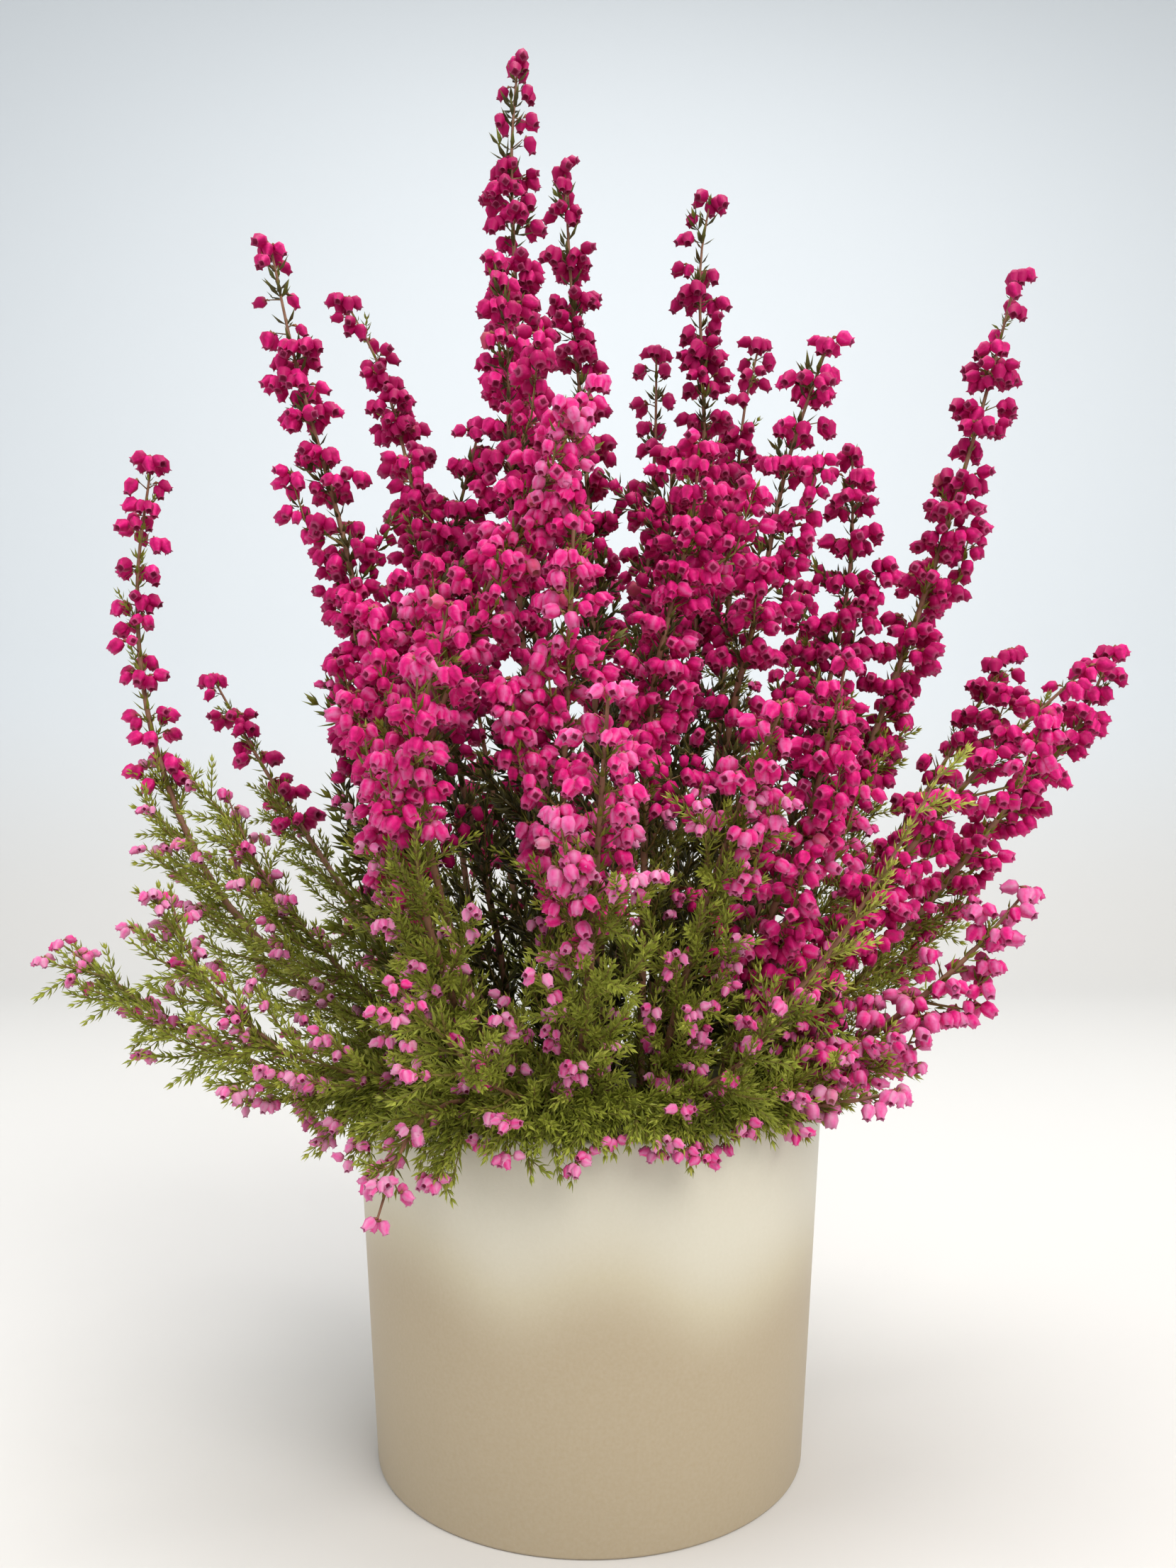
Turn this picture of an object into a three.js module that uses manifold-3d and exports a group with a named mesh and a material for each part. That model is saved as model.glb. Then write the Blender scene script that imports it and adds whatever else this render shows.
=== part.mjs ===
// A cape heath in its nursery pot, standing in a plain round cover pot.
// Millimetres, +Z up, origin at the middle of the cover pot's underside, -Y towards the viewer.
import * as THREE from 'three';
import { mergeVertices } from 'three/addons/utils/BufferGeometryUtils.js';
import Module from 'manifold-3d';

const wasm = await Module();
wasm.setup();

// Pots and soil
const rimRadius = 70;
const baseRadius = 63;
const potHeight = 105;
const potWall = 2.2;
const potFloor = 3;
const edgeRound = 0.9;
const seatGap = 0.3;
const nurseryTopRadius = 58;
const nurseryBaseRadius = 44;
const nurseryHeight = 90;
const nurseryWall = 1.2;
const nurseryLip = 2.6;
const drainRadius = 5;
const drainCircle = 28;
const drainHoles = 4;
const coverSegments = 44;
const innerSegments = 26;
const soilBelowLip = 7;
const soilCrown = 2;

// Plant
const footRadius = 3.2;
const footDepth = 14;
const footShows = 5;
const footClearance = 0.4;
const forkRise = 1.2;
const neckRise = 2;
const neckShare = 0.4;
const neckOut = 3;
const stemRadius = 1.6;
const leafyRadius = 3;
const leafyFrom = 30;
const stemEndRadius = 1.1;
const needleLength = 5.6;
const needleBase = 1.6;
const needleSpacing = 16;
const armStart = 5;
const armShare = 0.42;
const bellBand = 4.6;
const bellLength = 9;
const bellHalfWidth = 3.2;
const bellNod = 0.38;
const bellSpacing = 16.4;
const sparseSpacing = 15;
const stagger = 5;
const topLength = 5;
const clearance = 0.45;
const sides = 3;
const frameSteps = 80;
const footSides = 6;
const footTurn = Math.PI / 6;

// Where each woody foot stands in the soil
const feet = {
  left: [-38, -4],
  left_front: [-26, -28],
  inner_left: [-18, -8],
  back_left: [-26, 24],
  centre: [-4, 4],
  inner_back: [6, 22],
  back: [-8, 40],
  back_right: [26, 32],
  inner_right: [20, 6],
  right: [40, 2],
  right_front: [32, -24],
  front: [-4, -36],
  front_right: [14, -24],
};

// Each spray climbs from its foot through these points and blooms above the height given.
const sprays = [
  { name: 'left_outer', foot: 'left', bloom: 188, tone: 0.7, thick: 2.4,
    way: [[-58, 4, 112], [-98, 10, 142], [-124, 15, 170],
      [-144, 20, 215], [-150, 20, 262], [-146, 20, 307]] },
  { name: 'left_low', foot: 'left', bloom: 118, tone: 0.1, thick: 1.3,
    way: [[-56, -20, 110], [-80, -32, 113], [-104, -32, 122], [-128, -27, 134], [-154, -22, 150]] },
  { name: 'left_leafy', foot: 'left', bloom: 150, tone: 0.1, thick: 1.4,
    way: [[-52, -8, 120], [-78, -12, 145], [-98, -13, 170], [-110, -12, 195]] },
  { name: 'left_front_low', foot: 'left_front', bloom: 124, tone: 0.15, thick: 1.3,
    way: [[-48, -40, 112], [-78, -47, 121], [-98, -46, 136], [-110, -43, 150], [-116, -40, 165]] },
  { name: 'left_front', foot: 'left_front', bloom: 150, tone: 0.5, thick: 3.2,
    way: [[-34, -50, 130], [-42, -70, 165], [-42, -82, 200], [-34, -86, 236]] },
  { name: 'front_leaning', foot: 'left_front', bloom: 190, tone: 0.45, thick: 3.2,
    way: [[-32, -40, 135], [-40, -50, 165], [-44, -56, 197],
      [-30, -60, 238], [-14, -60, 272], [2, -56, 304]] },
  { name: 'front_drooping', foot: 'left_front', bloom: 112, tone: 0.1, thick: 1.2, falls: true,
    way: [[-25, -49, 109], [-34, -66, 114], [-42, -80, 111], [-46, -92, 102], [-48, -97, 94]] },
  { name: 'left_tall', foot: 'inner_left', bloom: 205, tone: 0.75, thick: 3,
    way: [[-40, -8, 130], [-58, -6, 172], [-68, -2, 221],
      [-76, 0, 269], [-93, 0, 330], [-102, 0, 370]] },
  { name: 'inner_left', foot: 'inner_left', bloom: 200, tone: 0.7, thick: 3.4,
    way: [[-28, -6, 150], [-42, 0, 210], [-46, 6, 262], [-36, 16, 318]] },
  { name: 'left_mid', foot: 'inner_left', bloom: 165, tone: 0.6, thick: 3.2,
    way: [[-36, -22, 130], [-50, -28, 170], [-58, -32, 215], [-55, -32, 256]] },
  { name: 'back_left_tall', foot: 'back_left', bloom: 235, tone: 0.9, thick: 2.8,
    way: [[-36, 34, 130], [-48, 46, 200], [-60, 58, 285], [-76, 66, 350], [-93, 70, 386]] },
  { name: 'back_left_outer', foot: 'back_left', bloom: 185, tone: 0.8, thick: 2.2,
    way: [[-56, 40, 122], [-92, 58, 168], [-120, 72, 205], [-144, 80, 243]] },
  { name: 'back_left_low', foot: 'back_left', bloom: 122, tone: 0.2, thick: 1.4,
    way: [[-46, 56, 114], [-70, 84, 128], [-92, 106, 156]] },
  { name: 'tallest', foot: 'centre', bloom: 240, tone: 0.85, thick: 3,
    way: [[-12, 6, 180], [-20, 10, 280], [-25, 15, 374], [-26, 15, 410], [-24, 15, 441]] },
  { name: 'centre', foot: 'centre', bloom: 205, tone: 0.7, thick: 3.2,
    way: [[-14, -8, 170], [-21, -16, 250], [-24, -20, 293], [-25, -15, 332], [-29, -10, 360]] },
  { name: 'second_tallest', foot: 'inner_back', bloom: 240, tone: 0.95, thick: 3,
    way: [[3, 30, 180], [0, 38, 290], [-6, 42, 370], [-9, 45, 422]] },
  { name: 'back_small', foot: 'inner_back', bloom: 255, tone: 1, thick: 2.4,
    way: [[12, 46, 170], [20, 64, 260], [25, 76, 330], [26, 80, 370]] },
  { name: 'rear_left', foot: 'back', bloom: 160, tone: 0.85, thick: 3,
    way: [[-20, 60, 130], [-36, 82, 195], [-48, 98, 255], [-54, 104, 296]] },
  { name: 'rear', foot: 'back', bloom: 160, tone: 0.85, thick: 3,
    way: [[2, 70, 130], [6, 92, 195], [6, 108, 255], [4, 114, 300]] },
  { name: 'rear_low', foot: 'back', bloom: 120, tone: 0.2, thick: 1.4,
    way: [[4, 76, 114], [14, 106, 124], [20, 130, 148]] },
  { name: 'back_right_tall', foot: 'inner_right', bloom: 230, tone: 0.9, thick: 2.8,
    way: [[28, 22, 160], [36, 36, 250], [41, 47, 316], [40, 50, 383], [44, 50, 413]] },
  { name: 'back_right_small', foot: 'back_right', bloom: 260, tone: 1, thick: 2.2,
    way: [[38, 42, 150], [50, 62, 250], [58, 76, 335], [66, 80, 373]] },
  { name: 'rear_right', foot: 'back_right', bloom: 160, tone: 0.85, thick: 3,
    way: [[44, 60, 130], [64, 82, 190], [80, 100, 245], [90, 108, 285]] },
  { name: 'back_right_low', foot: 'back_right', bloom: 126, tone: 0.2, thick: 1.4,
    way: [[44, 46, 113], [66, 66, 121], [90, 84, 136], [110, 98, 162]] },
  { name: 'right_mid', foot: 'inner_right', bloom: 195, tone: 0.65, thick: 3.2,
    way: [[32, -4, 150], [43, -10, 217], [51, -14, 251], [60, -15, 294], [73, -15, 332]] },
  { name: 'inner_right', foot: 'inner_right', bloom: 195, tone: 0.7, thick: 3.2,
    way: [[20, 2, 180], [25, 2, 250], [26, 0, 303]] },
  { name: 'right_inner', foot: 'inner_right', bloom: 190, tone: 0.75, thick: 3,
    way: [[44, 6, 140], [62, 6, 180], [77, 7, 233], [84, 8, 270], [85, 8, 305]] },
  { name: 'right_tall', foot: 'right', bloom: 190, tone: 0.8, thick: 3,
    way: [[56, 8, 130], [80, 14, 182], [98, 17, 228], [112, 18, 265], [130, 20, 320], [144, 20, 371]] },
  { name: 'right_outer', foot: 'right', bloom: 160, tone: 0.7, thick: 2.6,
    way: [[66, 4, 118], [102, 8, 154], [134, 12, 190], [158, 18, 214], [173, 20, 243]] },
  { name: 'back_right_outer', foot: 'right', bloom: 160, tone: 0.85, thick: 2.6,
    way: [[58, 26, 120], [92, 46, 158], [126, 60, 204], [157, 70, 251]] },
  { name: 'right_front', foot: 'right_front', bloom: 160, tone: 0.6, thick: 2.8,
    way: [[54, -22, 128], [84, -20, 165], [114, -20, 200], [147, -20, 231]] },
  { name: 'right_low', foot: 'right_front', bloom: 120, tone: 0.25, thick: 1.8,
    way: [[56, -30, 112], [82, -35, 128], [106, -36, 148], [124, -32, 166]] },
  { name: 'right_rim', foot: 'right_front', bloom: 109.5, tone: 0.1, thick: 1.2,
    way: [[44, -40, 108], [62, -52, 110], [80, -55, 114]] },
  { name: 'right_near', foot: 'right_front', bloom: 150, tone: 0.5, thick: 3,
    way: [[44, -32, 140], [60, -42, 185], [70, -48, 229]] },
  { name: 'right_shoot', foot: 'right_front', bloom: 999, tone: 0, thick: 1.2,
    way: [[40, -44, 120], [62, -58, 150], [78, -64, 176], [90, -64, 197]] },
  { name: 'front', foot: 'front', bloom: 165, tone: 0.45, thick: 3.2,
    way: [[-6, -46, 140], [-7, -60, 190], [-5, -68, 235], [-4, -70, 268]] },
  { name: 'nearest', foot: 'front', bloom: 140, tone: 0.35, thick: 3,
    way: [[-2, -62, 125], [0, -84, 150], [2, -100, 182], [4, -112, 212]] },
  { name: 'front_low', foot: 'front', bloom: 116, tone: 0.2, thick: 1.5,
    way: [[-10, -58, 110], [-22, -76, 119], [-33, -88, 132], [-45, -95, 147]] },
  { name: 'front_right', foot: 'front_right', bloom: 180, tone: 0.55, thick: 3.2,
    way: [[15, -32, 150], [17, -40, 217], [28, -42, 266], [31, -40, 292]] },
  { name: 'front_right_near', foot: 'front_right', bloom: 145, tone: 0.4, thick: 3,
    way: [[22, -48, 130], [30, -66, 165], [38, -80, 192], [46, -90, 212]] },
  { name: 'front_right_low', foot: 'front_right', bloom: 118, tone: 0.2, thick: 1.5,
    way: [[24, -54, 112], [36, -74, 124], [52, -86, 144]] },
];

// A repeatable draw from 0 to 1
function draw(row, column) {
  const wave = Math.sin(row * 12.9898 + column * 78.233) * 43758.5453;
  return wave - Math.floor(wave);
}

function finish(colour, roughness) {
  return new THREE.MeshStandardMaterial({ color: colour, roughness, metalness: 0 });
}

// Solids to cut and join
function solidOf(geometry) {
  const bare = geometry.clone();
  bare.deleteAttribute('normal');
  bare.deleteAttribute('uv');
  const welded = mergeVertices(bare, 1e-4);
  const triVerts = new Uint32Array(welded.index.array);
  const vertProperties = new Float32Array(welded.attributes.position.array);
  return new wasm.Manifold(new wasm.Mesh({ numProp: 3, vertProperties, triVerts }));
}

function geometryOf(solid) {
  const mesh = solid.getMesh();
  const geometry = new THREE.BufferGeometry();
  geometry.setAttribute('position', new THREE.BufferAttribute(mesh.vertProperties, 3));
  geometry.setIndex(new THREE.BufferAttribute(mesh.triVerts, 1));
  geometry.computeVertexNormals();
  return geometry;
}

// A turned piece stands on +Z; its outline is given as pairs of radius and height.
function turned(outline, segments) {
  const profile = outline.map(([radius, height]) => new THREE.Vector2(radius, height));
  const geometry = new THREE.LatheGeometry(profile, segments);
  return geometry.rotateX(Math.PI / 2);
}

function post(x, y, low, high, radius, segments) {
  const geometry = new THREE.CylinderGeometry(radius, radius, high - low, segments);
  geometry.rotateX(Math.PI / 2);
  return geometry.translate(x, y, (low + high) / 2);
}

// Pots and soil
const nurseryLow = potFloor + seatGap;
const nurseryHigh = nurseryLow + nurseryHeight;
const soilLow = nurseryLow + nurseryWall + seatGap;
const soilEdge = nurseryHigh - soilBelowLip;

function nurseryRadiusAt(height) {
  const share = (height - nurseryLow) / nurseryHeight;
  return nurseryBaseRadius + (nurseryTopRadius - nurseryBaseRadius) * share;
}

function coverPot() {
  const innerBase = baseRadius - potWall;
  const innerRim = rimRadius - potWall;
  const outline = [
    [0, 0], [baseRadius - edgeRound, 0], [baseRadius, edgeRound],
    [rimRadius, potHeight - edgeRound], [rimRadius - edgeRound / 2, potHeight],
    [innerRim + edgeRound / 2, potHeight], [innerRim, potHeight - edgeRound],
    [innerBase, potFloor], [0, potFloor],
  ];
  return turned(outline, coverSegments);
}

function nurseryPot() {
  const lipLow = nurseryHigh - 2 * nurseryLip;
  const outline = [
    [0, nurseryLow], [nurseryBaseRadius, nurseryLow],
    [nurseryRadiusAt(lipLow), lipLow], [nurseryTopRadius + nurseryLip, lipLow],
    [nurseryTopRadius + nurseryLip, nurseryHigh], [nurseryTopRadius - nurseryWall, nurseryHigh],
    [nurseryBaseRadius - nurseryWall, nurseryLow + nurseryWall], [0, nurseryLow + nurseryWall],
  ];
  let body = solidOf(turned(outline, innerSegments));
  for (let turn = 0; turn < drainHoles; turn += 1) {
    const angle = ((turn + 0.5) * 2 * Math.PI) / drainHoles;
    const x = drainCircle * Math.cos(angle);
    const y = drainCircle * Math.sin(angle);
    const hole = post(x, y, nurseryLow - 1, nurseryLow + nurseryWall + 1, drainRadius, 8);
    body = body.subtract(solidOf(hole));
  }
  return geometryOf(body);
}

function soilHeightAt(radius) {
  return soilEdge + soilCrown * (1 - (radius / nurseryTopRadius) ** 2);
}

function soil() {
  const inset = nurseryWall + seatGap;
  const outline = [[0, soilLow], [nurseryBaseRadius - inset, soilLow]];
  for (const share of [1, 0.66, 0.33, 0]) {
    const radius = (nurseryRadiusAt(soilEdge) - inset) * share;
    outline.push([radius, soilHeightAt(radius)]);
  }
  let body = solidOf(turned(outline, innerSegments));
  for (const [x, y] of Object.values(feet)) {
    const low = soilEdge - footDepth - footClearance;
    const hole = post(x, y, low, potHeight, footRadius + footClearance, footSides);
    body = body.subtract(solidOf(hole));
  }
  return geometryOf(body);
}

function footTop(foot) {
  const [x, y] = feet[foot];
  return soilHeightAt(Math.hypot(x, y)) + footShows;
}

function wedgeAngle(side) {
  return footTurn + ((side + 0.5) * 2 * Math.PI) / footSides;
}

// The best sides of a foot for arms with these bearings, kept in their order so that no arm crosses another
function bestSides(bearings) {
  let best = { score: -Infinity };
  const seat = (taken, score) => {
    const arm = taken.length;
    if (arm === bearings.length) {
      best = score > best.score ? { score, taken } : best;
      return;
    }
    const from = arm ? taken[arm - 1] + 1 : 0;
    const to = arm ? taken[0] + footSides - 1 : footSides - 1;
    for (let side = from; side <= to; side += 1) {
      seat([...taken, side], score + Math.cos(bearings[arm] - wedgeAngle(side)));
    }
  };
  seat([], 0);
  return best.taken.map((side) => side % footSides);
}

// Each arm leaves by one wedge of the foot's top.
const wedges = new Map();
Object.entries(feet).forEach(([foot, [x, y]]) => {
  const bearing = ({ way: [[wayX, wayY]] }) => Math.atan2(wayY - y, wayX - x);
  const arms = sprays.filter((spray) => spray.foot === foot);
  arms.sort((a, b) => bearing(a) - bearing(b));
  bestSides(arms.map(bearing)).forEach((side, arm) => wedges.set(arms[arm], side));
});

// A spray's line, from the top of its foot to its tip
function lineOf(spray) {
  const [x, y] = feet[spray.foot];
  const points = spray.way.map((point) => new THREE.Vector3(...point));
  const angle = wedgeAngle(wedges.get(spray));
  const start = new THREE.Vector3(Math.cos(angle), Math.sin(angle), 0).multiplyScalar(neckOut);
  start.add(new THREE.Vector3(x, y, footTop(spray.foot) + neckRise));
  const curve = new THREE.CatmullRomCurve3([start, ...points], false, 'catmullrom', 0.5);
  const frames = curve.computeFrenetFrames(frameSteps, false);
  const length = curve.getLength();
  const at = (distance) => {
    const u = Math.min(1, Math.max(0, distance / length));
    const along = curve.getTangentAt(u);
    const across = frames.normals[Math.round(u * frameSteps)].clone();
    across.addScaledVector(along, -across.dot(along)).normalize();
    const over = new THREE.Vector3().crossVectors(along, across);
    return { centre: curve.getPointAt(u), along, across, over };
  };
  let bloomStart = length;
  for (let distance = 0; distance < length; distance += 1) {
    const { x: px, y: py, z } = at(distance).centre;
    const reached = spray.falls ? Math.hypot(px, py) > rimRadius + 6 : z > spray.bloom;
    if (reached) {
      bloomStart = distance;
      break;
    }
  }
  const stations = Array.from({ length: Math.ceil(bloomStart) }, (_, distance) => at(distance).centre);
  return { length, at, bloomStart, stations };
}

// Room taken so far, as balls that each belong to one leafy or flowering stretch
const room = [];

function take(centre, radius, owner, isStem = false) {
  room.push({ centre, radius, owner, isStem });
}

function isClear(centre, radius, owner) {
  const out = Math.hypot(centre.x, centre.y);
  const nearWall = out > baseRadius - potWall - radius - 2 && centre.z < potHeight + radius + clearance;
  const wallRadius = baseRadius + (rimRadius - baseRadius) * (Math.min(centre.z, potHeight) / potHeight);
  if (nearWall && out < wallRadius + radius + clearance) return false;
  if (out <= rimRadius && centre.z < nurseryHigh + radius + clearance) return false;
  return room.every((ball) => {
    const ownStem = ball.owner === owner && ball.isStem;
    return ownStem || ball.centre.distanceTo(centre) > ball.radius + radius + clearance;
  });
}

// A closed skin that is grown ring by ring
class Skin {
  constructor() {
    this.points = [];
    this.faces = [];
  }

  add(point) {
    this.points.push(point);
    return this.points.length - 1;
  }

  ring(frame, radius, turn, count = sides, lifts = []) {
    const corners = [];
    for (let side = 0; side < count; side += 1) {
      const angle = turn + (side * 2 * Math.PI) / count;
      const point = frame.centre.clone();
      point.addScaledVector(frame.along, lifts[side] ?? 0);
      point.addScaledVector(frame.across, radius * Math.cos(angle));
      point.addScaledVector(frame.over, radius * Math.sin(angle));
      corners.push(this.add(point));
    }
    return corners;
  }

  // Split so that a ring turned half a side from the last one makes a plain antiprism
  quad([a, b, c, d]) {
    this.faces.push(a, b, d, b, c, d);
  }

  fan(corners, tip) {
    const peak = this.add(tip);
    corners.forEach((corner, index) => {
      this.faces.push(corner, corners[(index + 1) % corners.length], peak);
    });
  }

  // The quads between two rings, seen from outside with their corners anticlockwise
  bands(lower, upper) {
    return lower.map((corner, side) => {
      const next = (side + 1) % lower.length;
      return [corner, lower[next], upper[next], upper[side]];
    });
  }

  close(corners, faceUp) {
    for (let corner = 1; corner < corners.length - 1; corner += 1) {
      const pair = [corners[corner], corners[corner + 1]];
      this.faces.push(corners[0], ...(faceUp ? pair : pair.reverse()));
    }
  }

  middle(corners) {
    const sum = new THREE.Vector3();
    corners.forEach((corner) => sum.add(this.points[corner]));
    return sum.divideScalar(corners.length);
  }

  // A bell on one quad: it widens to its belly and closes to its mouth
  bell(corners, axis, length, halfWidth) {
    const root = this.middle(corners);
    const belly = corners.map((corner) => {
      const spread = this.points[corner].clone().sub(root);
      spread.addScaledVector(axis, -spread.dot(axis)).setLength(halfWidth * Math.SQRT2);
      return this.add(root.clone().addScaledVector(axis, length * 0.62).add(spread));
    });
    corners.forEach((corner, index) => {
      const next = (index + 1) % corners.length;
      this.quad([corner, corners[next], belly[next], belly[index]]);
    });
    this.fan(belly, root.clone().addScaledVector(axis, length));
  }

  geometry() {
    const geometry = new THREE.BufferGeometry();
    geometry.setFromPoints(this.points);
    geometry.setIndex(this.faces);
    geometry.computeVertexNormals();
    return geometry;
  }
}

// A needle on one small face of a stem, left off where it would touch a neighbour
function growNeedle(skin, face, frame, owner, row, column) {
  const root = skin.middle(face);
  const direction = root.clone().sub(frame.centre);
  direction.addScaledVector(frame.along, -direction.dot(frame.along)).normalize();
  direction.addScaledVector(frame.along, 0.4 + 0.5 * draw(row, column + 5)).normalize();
  const reach = needleLength * (0.85 + 0.3 * draw(row, column));
  const balls = [[0.25, 1.4], [0.6, 0.8], [1, 0.2]].map(([share, radius]) => {
    return [root.clone().addScaledVector(direction, reach * share), radius];
  });
  if (balls.every(([centre, radius]) => isClear(centre, radius, owner))) {
    balls.forEach(([centre, radius]) => take(centre, radius, owner));
    skin.fan(face, balls[2][0]);
  } else {
    skin.faces.push(...face);
  }
}

// The leafy stretch of a spray, grown from a wedge of its foot: a slim stem with whorls of needles
function growArm(skin, wedge, spray, row) {
  const line = lines[row];
  const end = line.bloomStart;
  const owner = `leafy_${spray.name}`;
  const beside = lines.filter((other, otherRow) => otherRow !== row && sprays[otherRow].foot === spray.foot);
  const radiusAt = (distance) => {
    const { centre } = line.at(distance);
    const leafing = Math.min(1, distance / leafyFrom);
    const wanted = stemRadius + (leafyRadius - stemRadius) * leafing * (1 - 0.5 * (distance / end));
    const gaps = beside.flatMap((other) => other.stations.map((point) => point.distanceTo(centre)));
    return Math.min(wanted, armShare * Math.min(...gaps, Infinity));
  };
  const root = skin.middle(wedge);
  const neck = wedge.map((corner) => {
    const spread = skin.points[corner].clone().sub(root).multiplyScalar(neckShare);
    return skin.add(spread.add(line.at(0).centre));
  });
  skin.bands(wedge, neck).forEach((band) => skin.quad(band));
  const first = line.at(armStart);
  const lead = skin.points[neck[0]].clone().sub(skin.middle(neck));
  let turn = Math.atan2(lead.dot(first.over), lead.dot(first.across));
  let below = skin.ring(first, radiusAt(armStart), turn);
  skin.bands(neck, below).forEach((band) => skin.quad(band));
  let whorl = 0;
  for (let distance = armStart + needleSpacing; distance < end - needleBase; distance += needleSpacing) {
    whorl += 1;
    turn += Math.PI / sides;
    const frame = line.at(distance);
    const lower = skin.ring(frame, radiusAt(distance), turn);
    skin.bands(below, lower).forEach((band) => skin.quad(band));
    const upper = skin.ring(line.at(distance + needleBase), radiusAt(distance), turn);
    skin.bands(lower, upper).forEach(([a, b, c, d], side) => {
      growNeedle(skin, [a, b, c], frame, owner, row * 40 + whorl, side);
      growNeedle(skin, [a, c, d], frame, owner, row * 40 + whorl, side + sides);
    });
    below = upper;
  }
  if (end < line.length) {
    const top = skin.ring(line.at(end), stemEndRadius, turn);
    skin.bands(below, top).forEach((band) => skin.quad(band));
    skin.close(top, true);
  } else {
    skin.fan(below, line.at(line.length).centre);
  }
}

// The flowering stretch: a slim core under whorls of bells that nod outwards
function flowerSpike(spray, line, row) {
  const skin = new Skin();
  const owner = `flowers_${spray.name}`;
  const start = line.bloomStart + seatGap;
  const stretch = line.length - start;
  const sparse = spray.thick < 2;
  const spacing = sparse ? sparseSpacing : bellSpacing;
  const count = Math.max(2, Math.round(stretch / spacing));
  const step = (stretch - spacing * 0.4 - topLength) / (count - 1);
  let turn = draw(row, 2) * Math.PI;
  let below = skin.ring(line.at(start), stemEndRadius, turn);
  skin.close(below, false);
  for (let whorl = 0; whorl < count; whorl += 1) {
    const share = (whorl + 0.5) / count;
    const distance = start + spacing * 0.4 + step * whorl;
    const thick = spray.thick * (1.15 - 0.5 * share);
    const band = bellBand * (sparse ? 0.6 : 1);
    turn += Math.PI / sides + (draw(row, whorl + 20) - 0.5) * 0.5;
    const frame = line.at(distance);
    const lifts = [0, 1, 2].map((side) => stagger * (draw(row * 70 + whorl, side + 13) - 0.5));
    const lower = skin.ring(line.at(distance - band / 2), thick, turn, sides, lifts);
    const upper = skin.ring(line.at(distance + band / 2), thick, turn, sides, lifts);
    skin.bands(below, lower).forEach((quad) => skin.quad(quad));
    skin.bands(lower, upper).forEach((quad, side) => {
      const root = skin.middle(quad);
      const axis = root.clone().sub(frame.centre);
      axis.addScaledVector(frame.along, -axis.dot(frame.along)).normalize();
      const lean = draw(row * 60 + whorl, side + 3) - 0.5;
      axis.addScaledVector(frame.along, -bellNod - 0.3 * lean).normalize();
      const size = 0.86 + 0.26 * draw(row * 60 + whorl, side + 9);
      const length = bellLength * size * (sparse ? 0.85 : 1) * (1.2 - 0.35 * share);
      const halfWidth = bellHalfWidth * size * (sparse ? 0.8 : 1) * (1.05 - 0.2 * share);
      const heart = root.clone().addScaledVector(axis, length * 0.62);
      const ball = halfWidth * 1.42;
      if (isClear(heart, ball, owner)) {
        take(heart, ball, owner);
        skin.bell(quad, axis, length, halfWidth);
      } else {
        skin.quad(quad);
      }
    });
    below = upper;
  }
  skin.fan(below, line.at(line.length).centre);
  return skin.geometry();
}

// Stems and spikes take their room first, then bells and needles grow where it is free.
const lines = sprays.map((spray) => lineOf(spray));
sprays.forEach((spray, row) => {
  const line = lines[row];
  for (let distance = 0; distance < line.length; distance += 2) {
    const blooming = distance > line.bloomStart;
    const radius = blooming ? spray.thick * 1.15 : stemRadius;
    take(line.at(distance).centre, radius, `${blooming ? 'flowers' : 'leafy'}_${spray.name}`, true);
  }
});

const flowerGeometries = sprays.map((spray, row) => {
  const line = lines[row];
  return line.bloomStart < line.length ? flowerSpike(spray, line, row) : null;
});

function leafyStem(foot) {
  const skin = new Skin();
  const [x, y] = feet[foot];
  const level = (z) => ({
    centre: new THREE.Vector3(x, y, z),
    across: new THREE.Vector3(1, 0, 0),
    over: new THREE.Vector3(0, 1, 0),
    along: new THREE.Vector3(0, 0, 1),
  });
  const sole = skin.ring(level(soilEdge - footDepth), footRadius, footTurn, footSides);
  const crown = skin.ring(level(footTop(foot)), footRadius, footTurn, footSides);
  skin.close(sole, false);
  skin.bands(sole, crown).forEach((band) => skin.quad(band));
  const heart = skin.add(new THREE.Vector3(x, y, footTop(foot) + forkRise));
  const arms = sprays.filter((spray) => spray.foot === foot);
  crown.forEach((corner, side) => {
    const wedge = [corner, crown[(side + 1) % footSides], heart];
    const arm = arms.find((spray) => wedges.get(spray) === side);
    if (arm) {
      growArm(skin, wedge, arm, sprays.indexOf(arm));
    } else {
      skin.faces.push(...wedge);
    }
  });
  return skin.geometry();
}

// The whole plant in its pots
const heath = new THREE.Group();

function place(name, geometry, material) {
  const mesh = new THREE.Mesh(geometry, material);
  mesh.name = name;
  heath.add(mesh);
}

const leafGreen = finish(0x6a8438, 0.75);
const palePink = new THREE.Color(0xe296b8);
const deepPink = new THREE.Color(0xb3156c);

place('cover_pot', coverPot(), finish(0xd2c8b2, 0.42));
place('nursery_pot', nurseryPot(), finish(0x6f5a48, 0.6));
place('soil', soil(), finish(0x3a2b20, 0.95));
Object.keys(feet).forEach((foot) => place(`leafy_stem_${foot}`, leafyStem(foot), leafGreen));
sprays.forEach((spray, row) => {
  if (!flowerGeometries[row]) return;
  const colour = palePink.clone().lerp(deepPink, Math.min(1, spray.tone * 1.1));
  place(`flowers_${spray.name}`, flowerGeometries[row], finish(colour, 0.55));
});

export default heath;
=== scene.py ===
import random
from bisect import bisect_right
from math import atan2, cos, degrees, hypot, pi, radians, sin

import bmesh
import bpy
import numpy as np
from mathutils import Matrix, Vector


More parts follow.
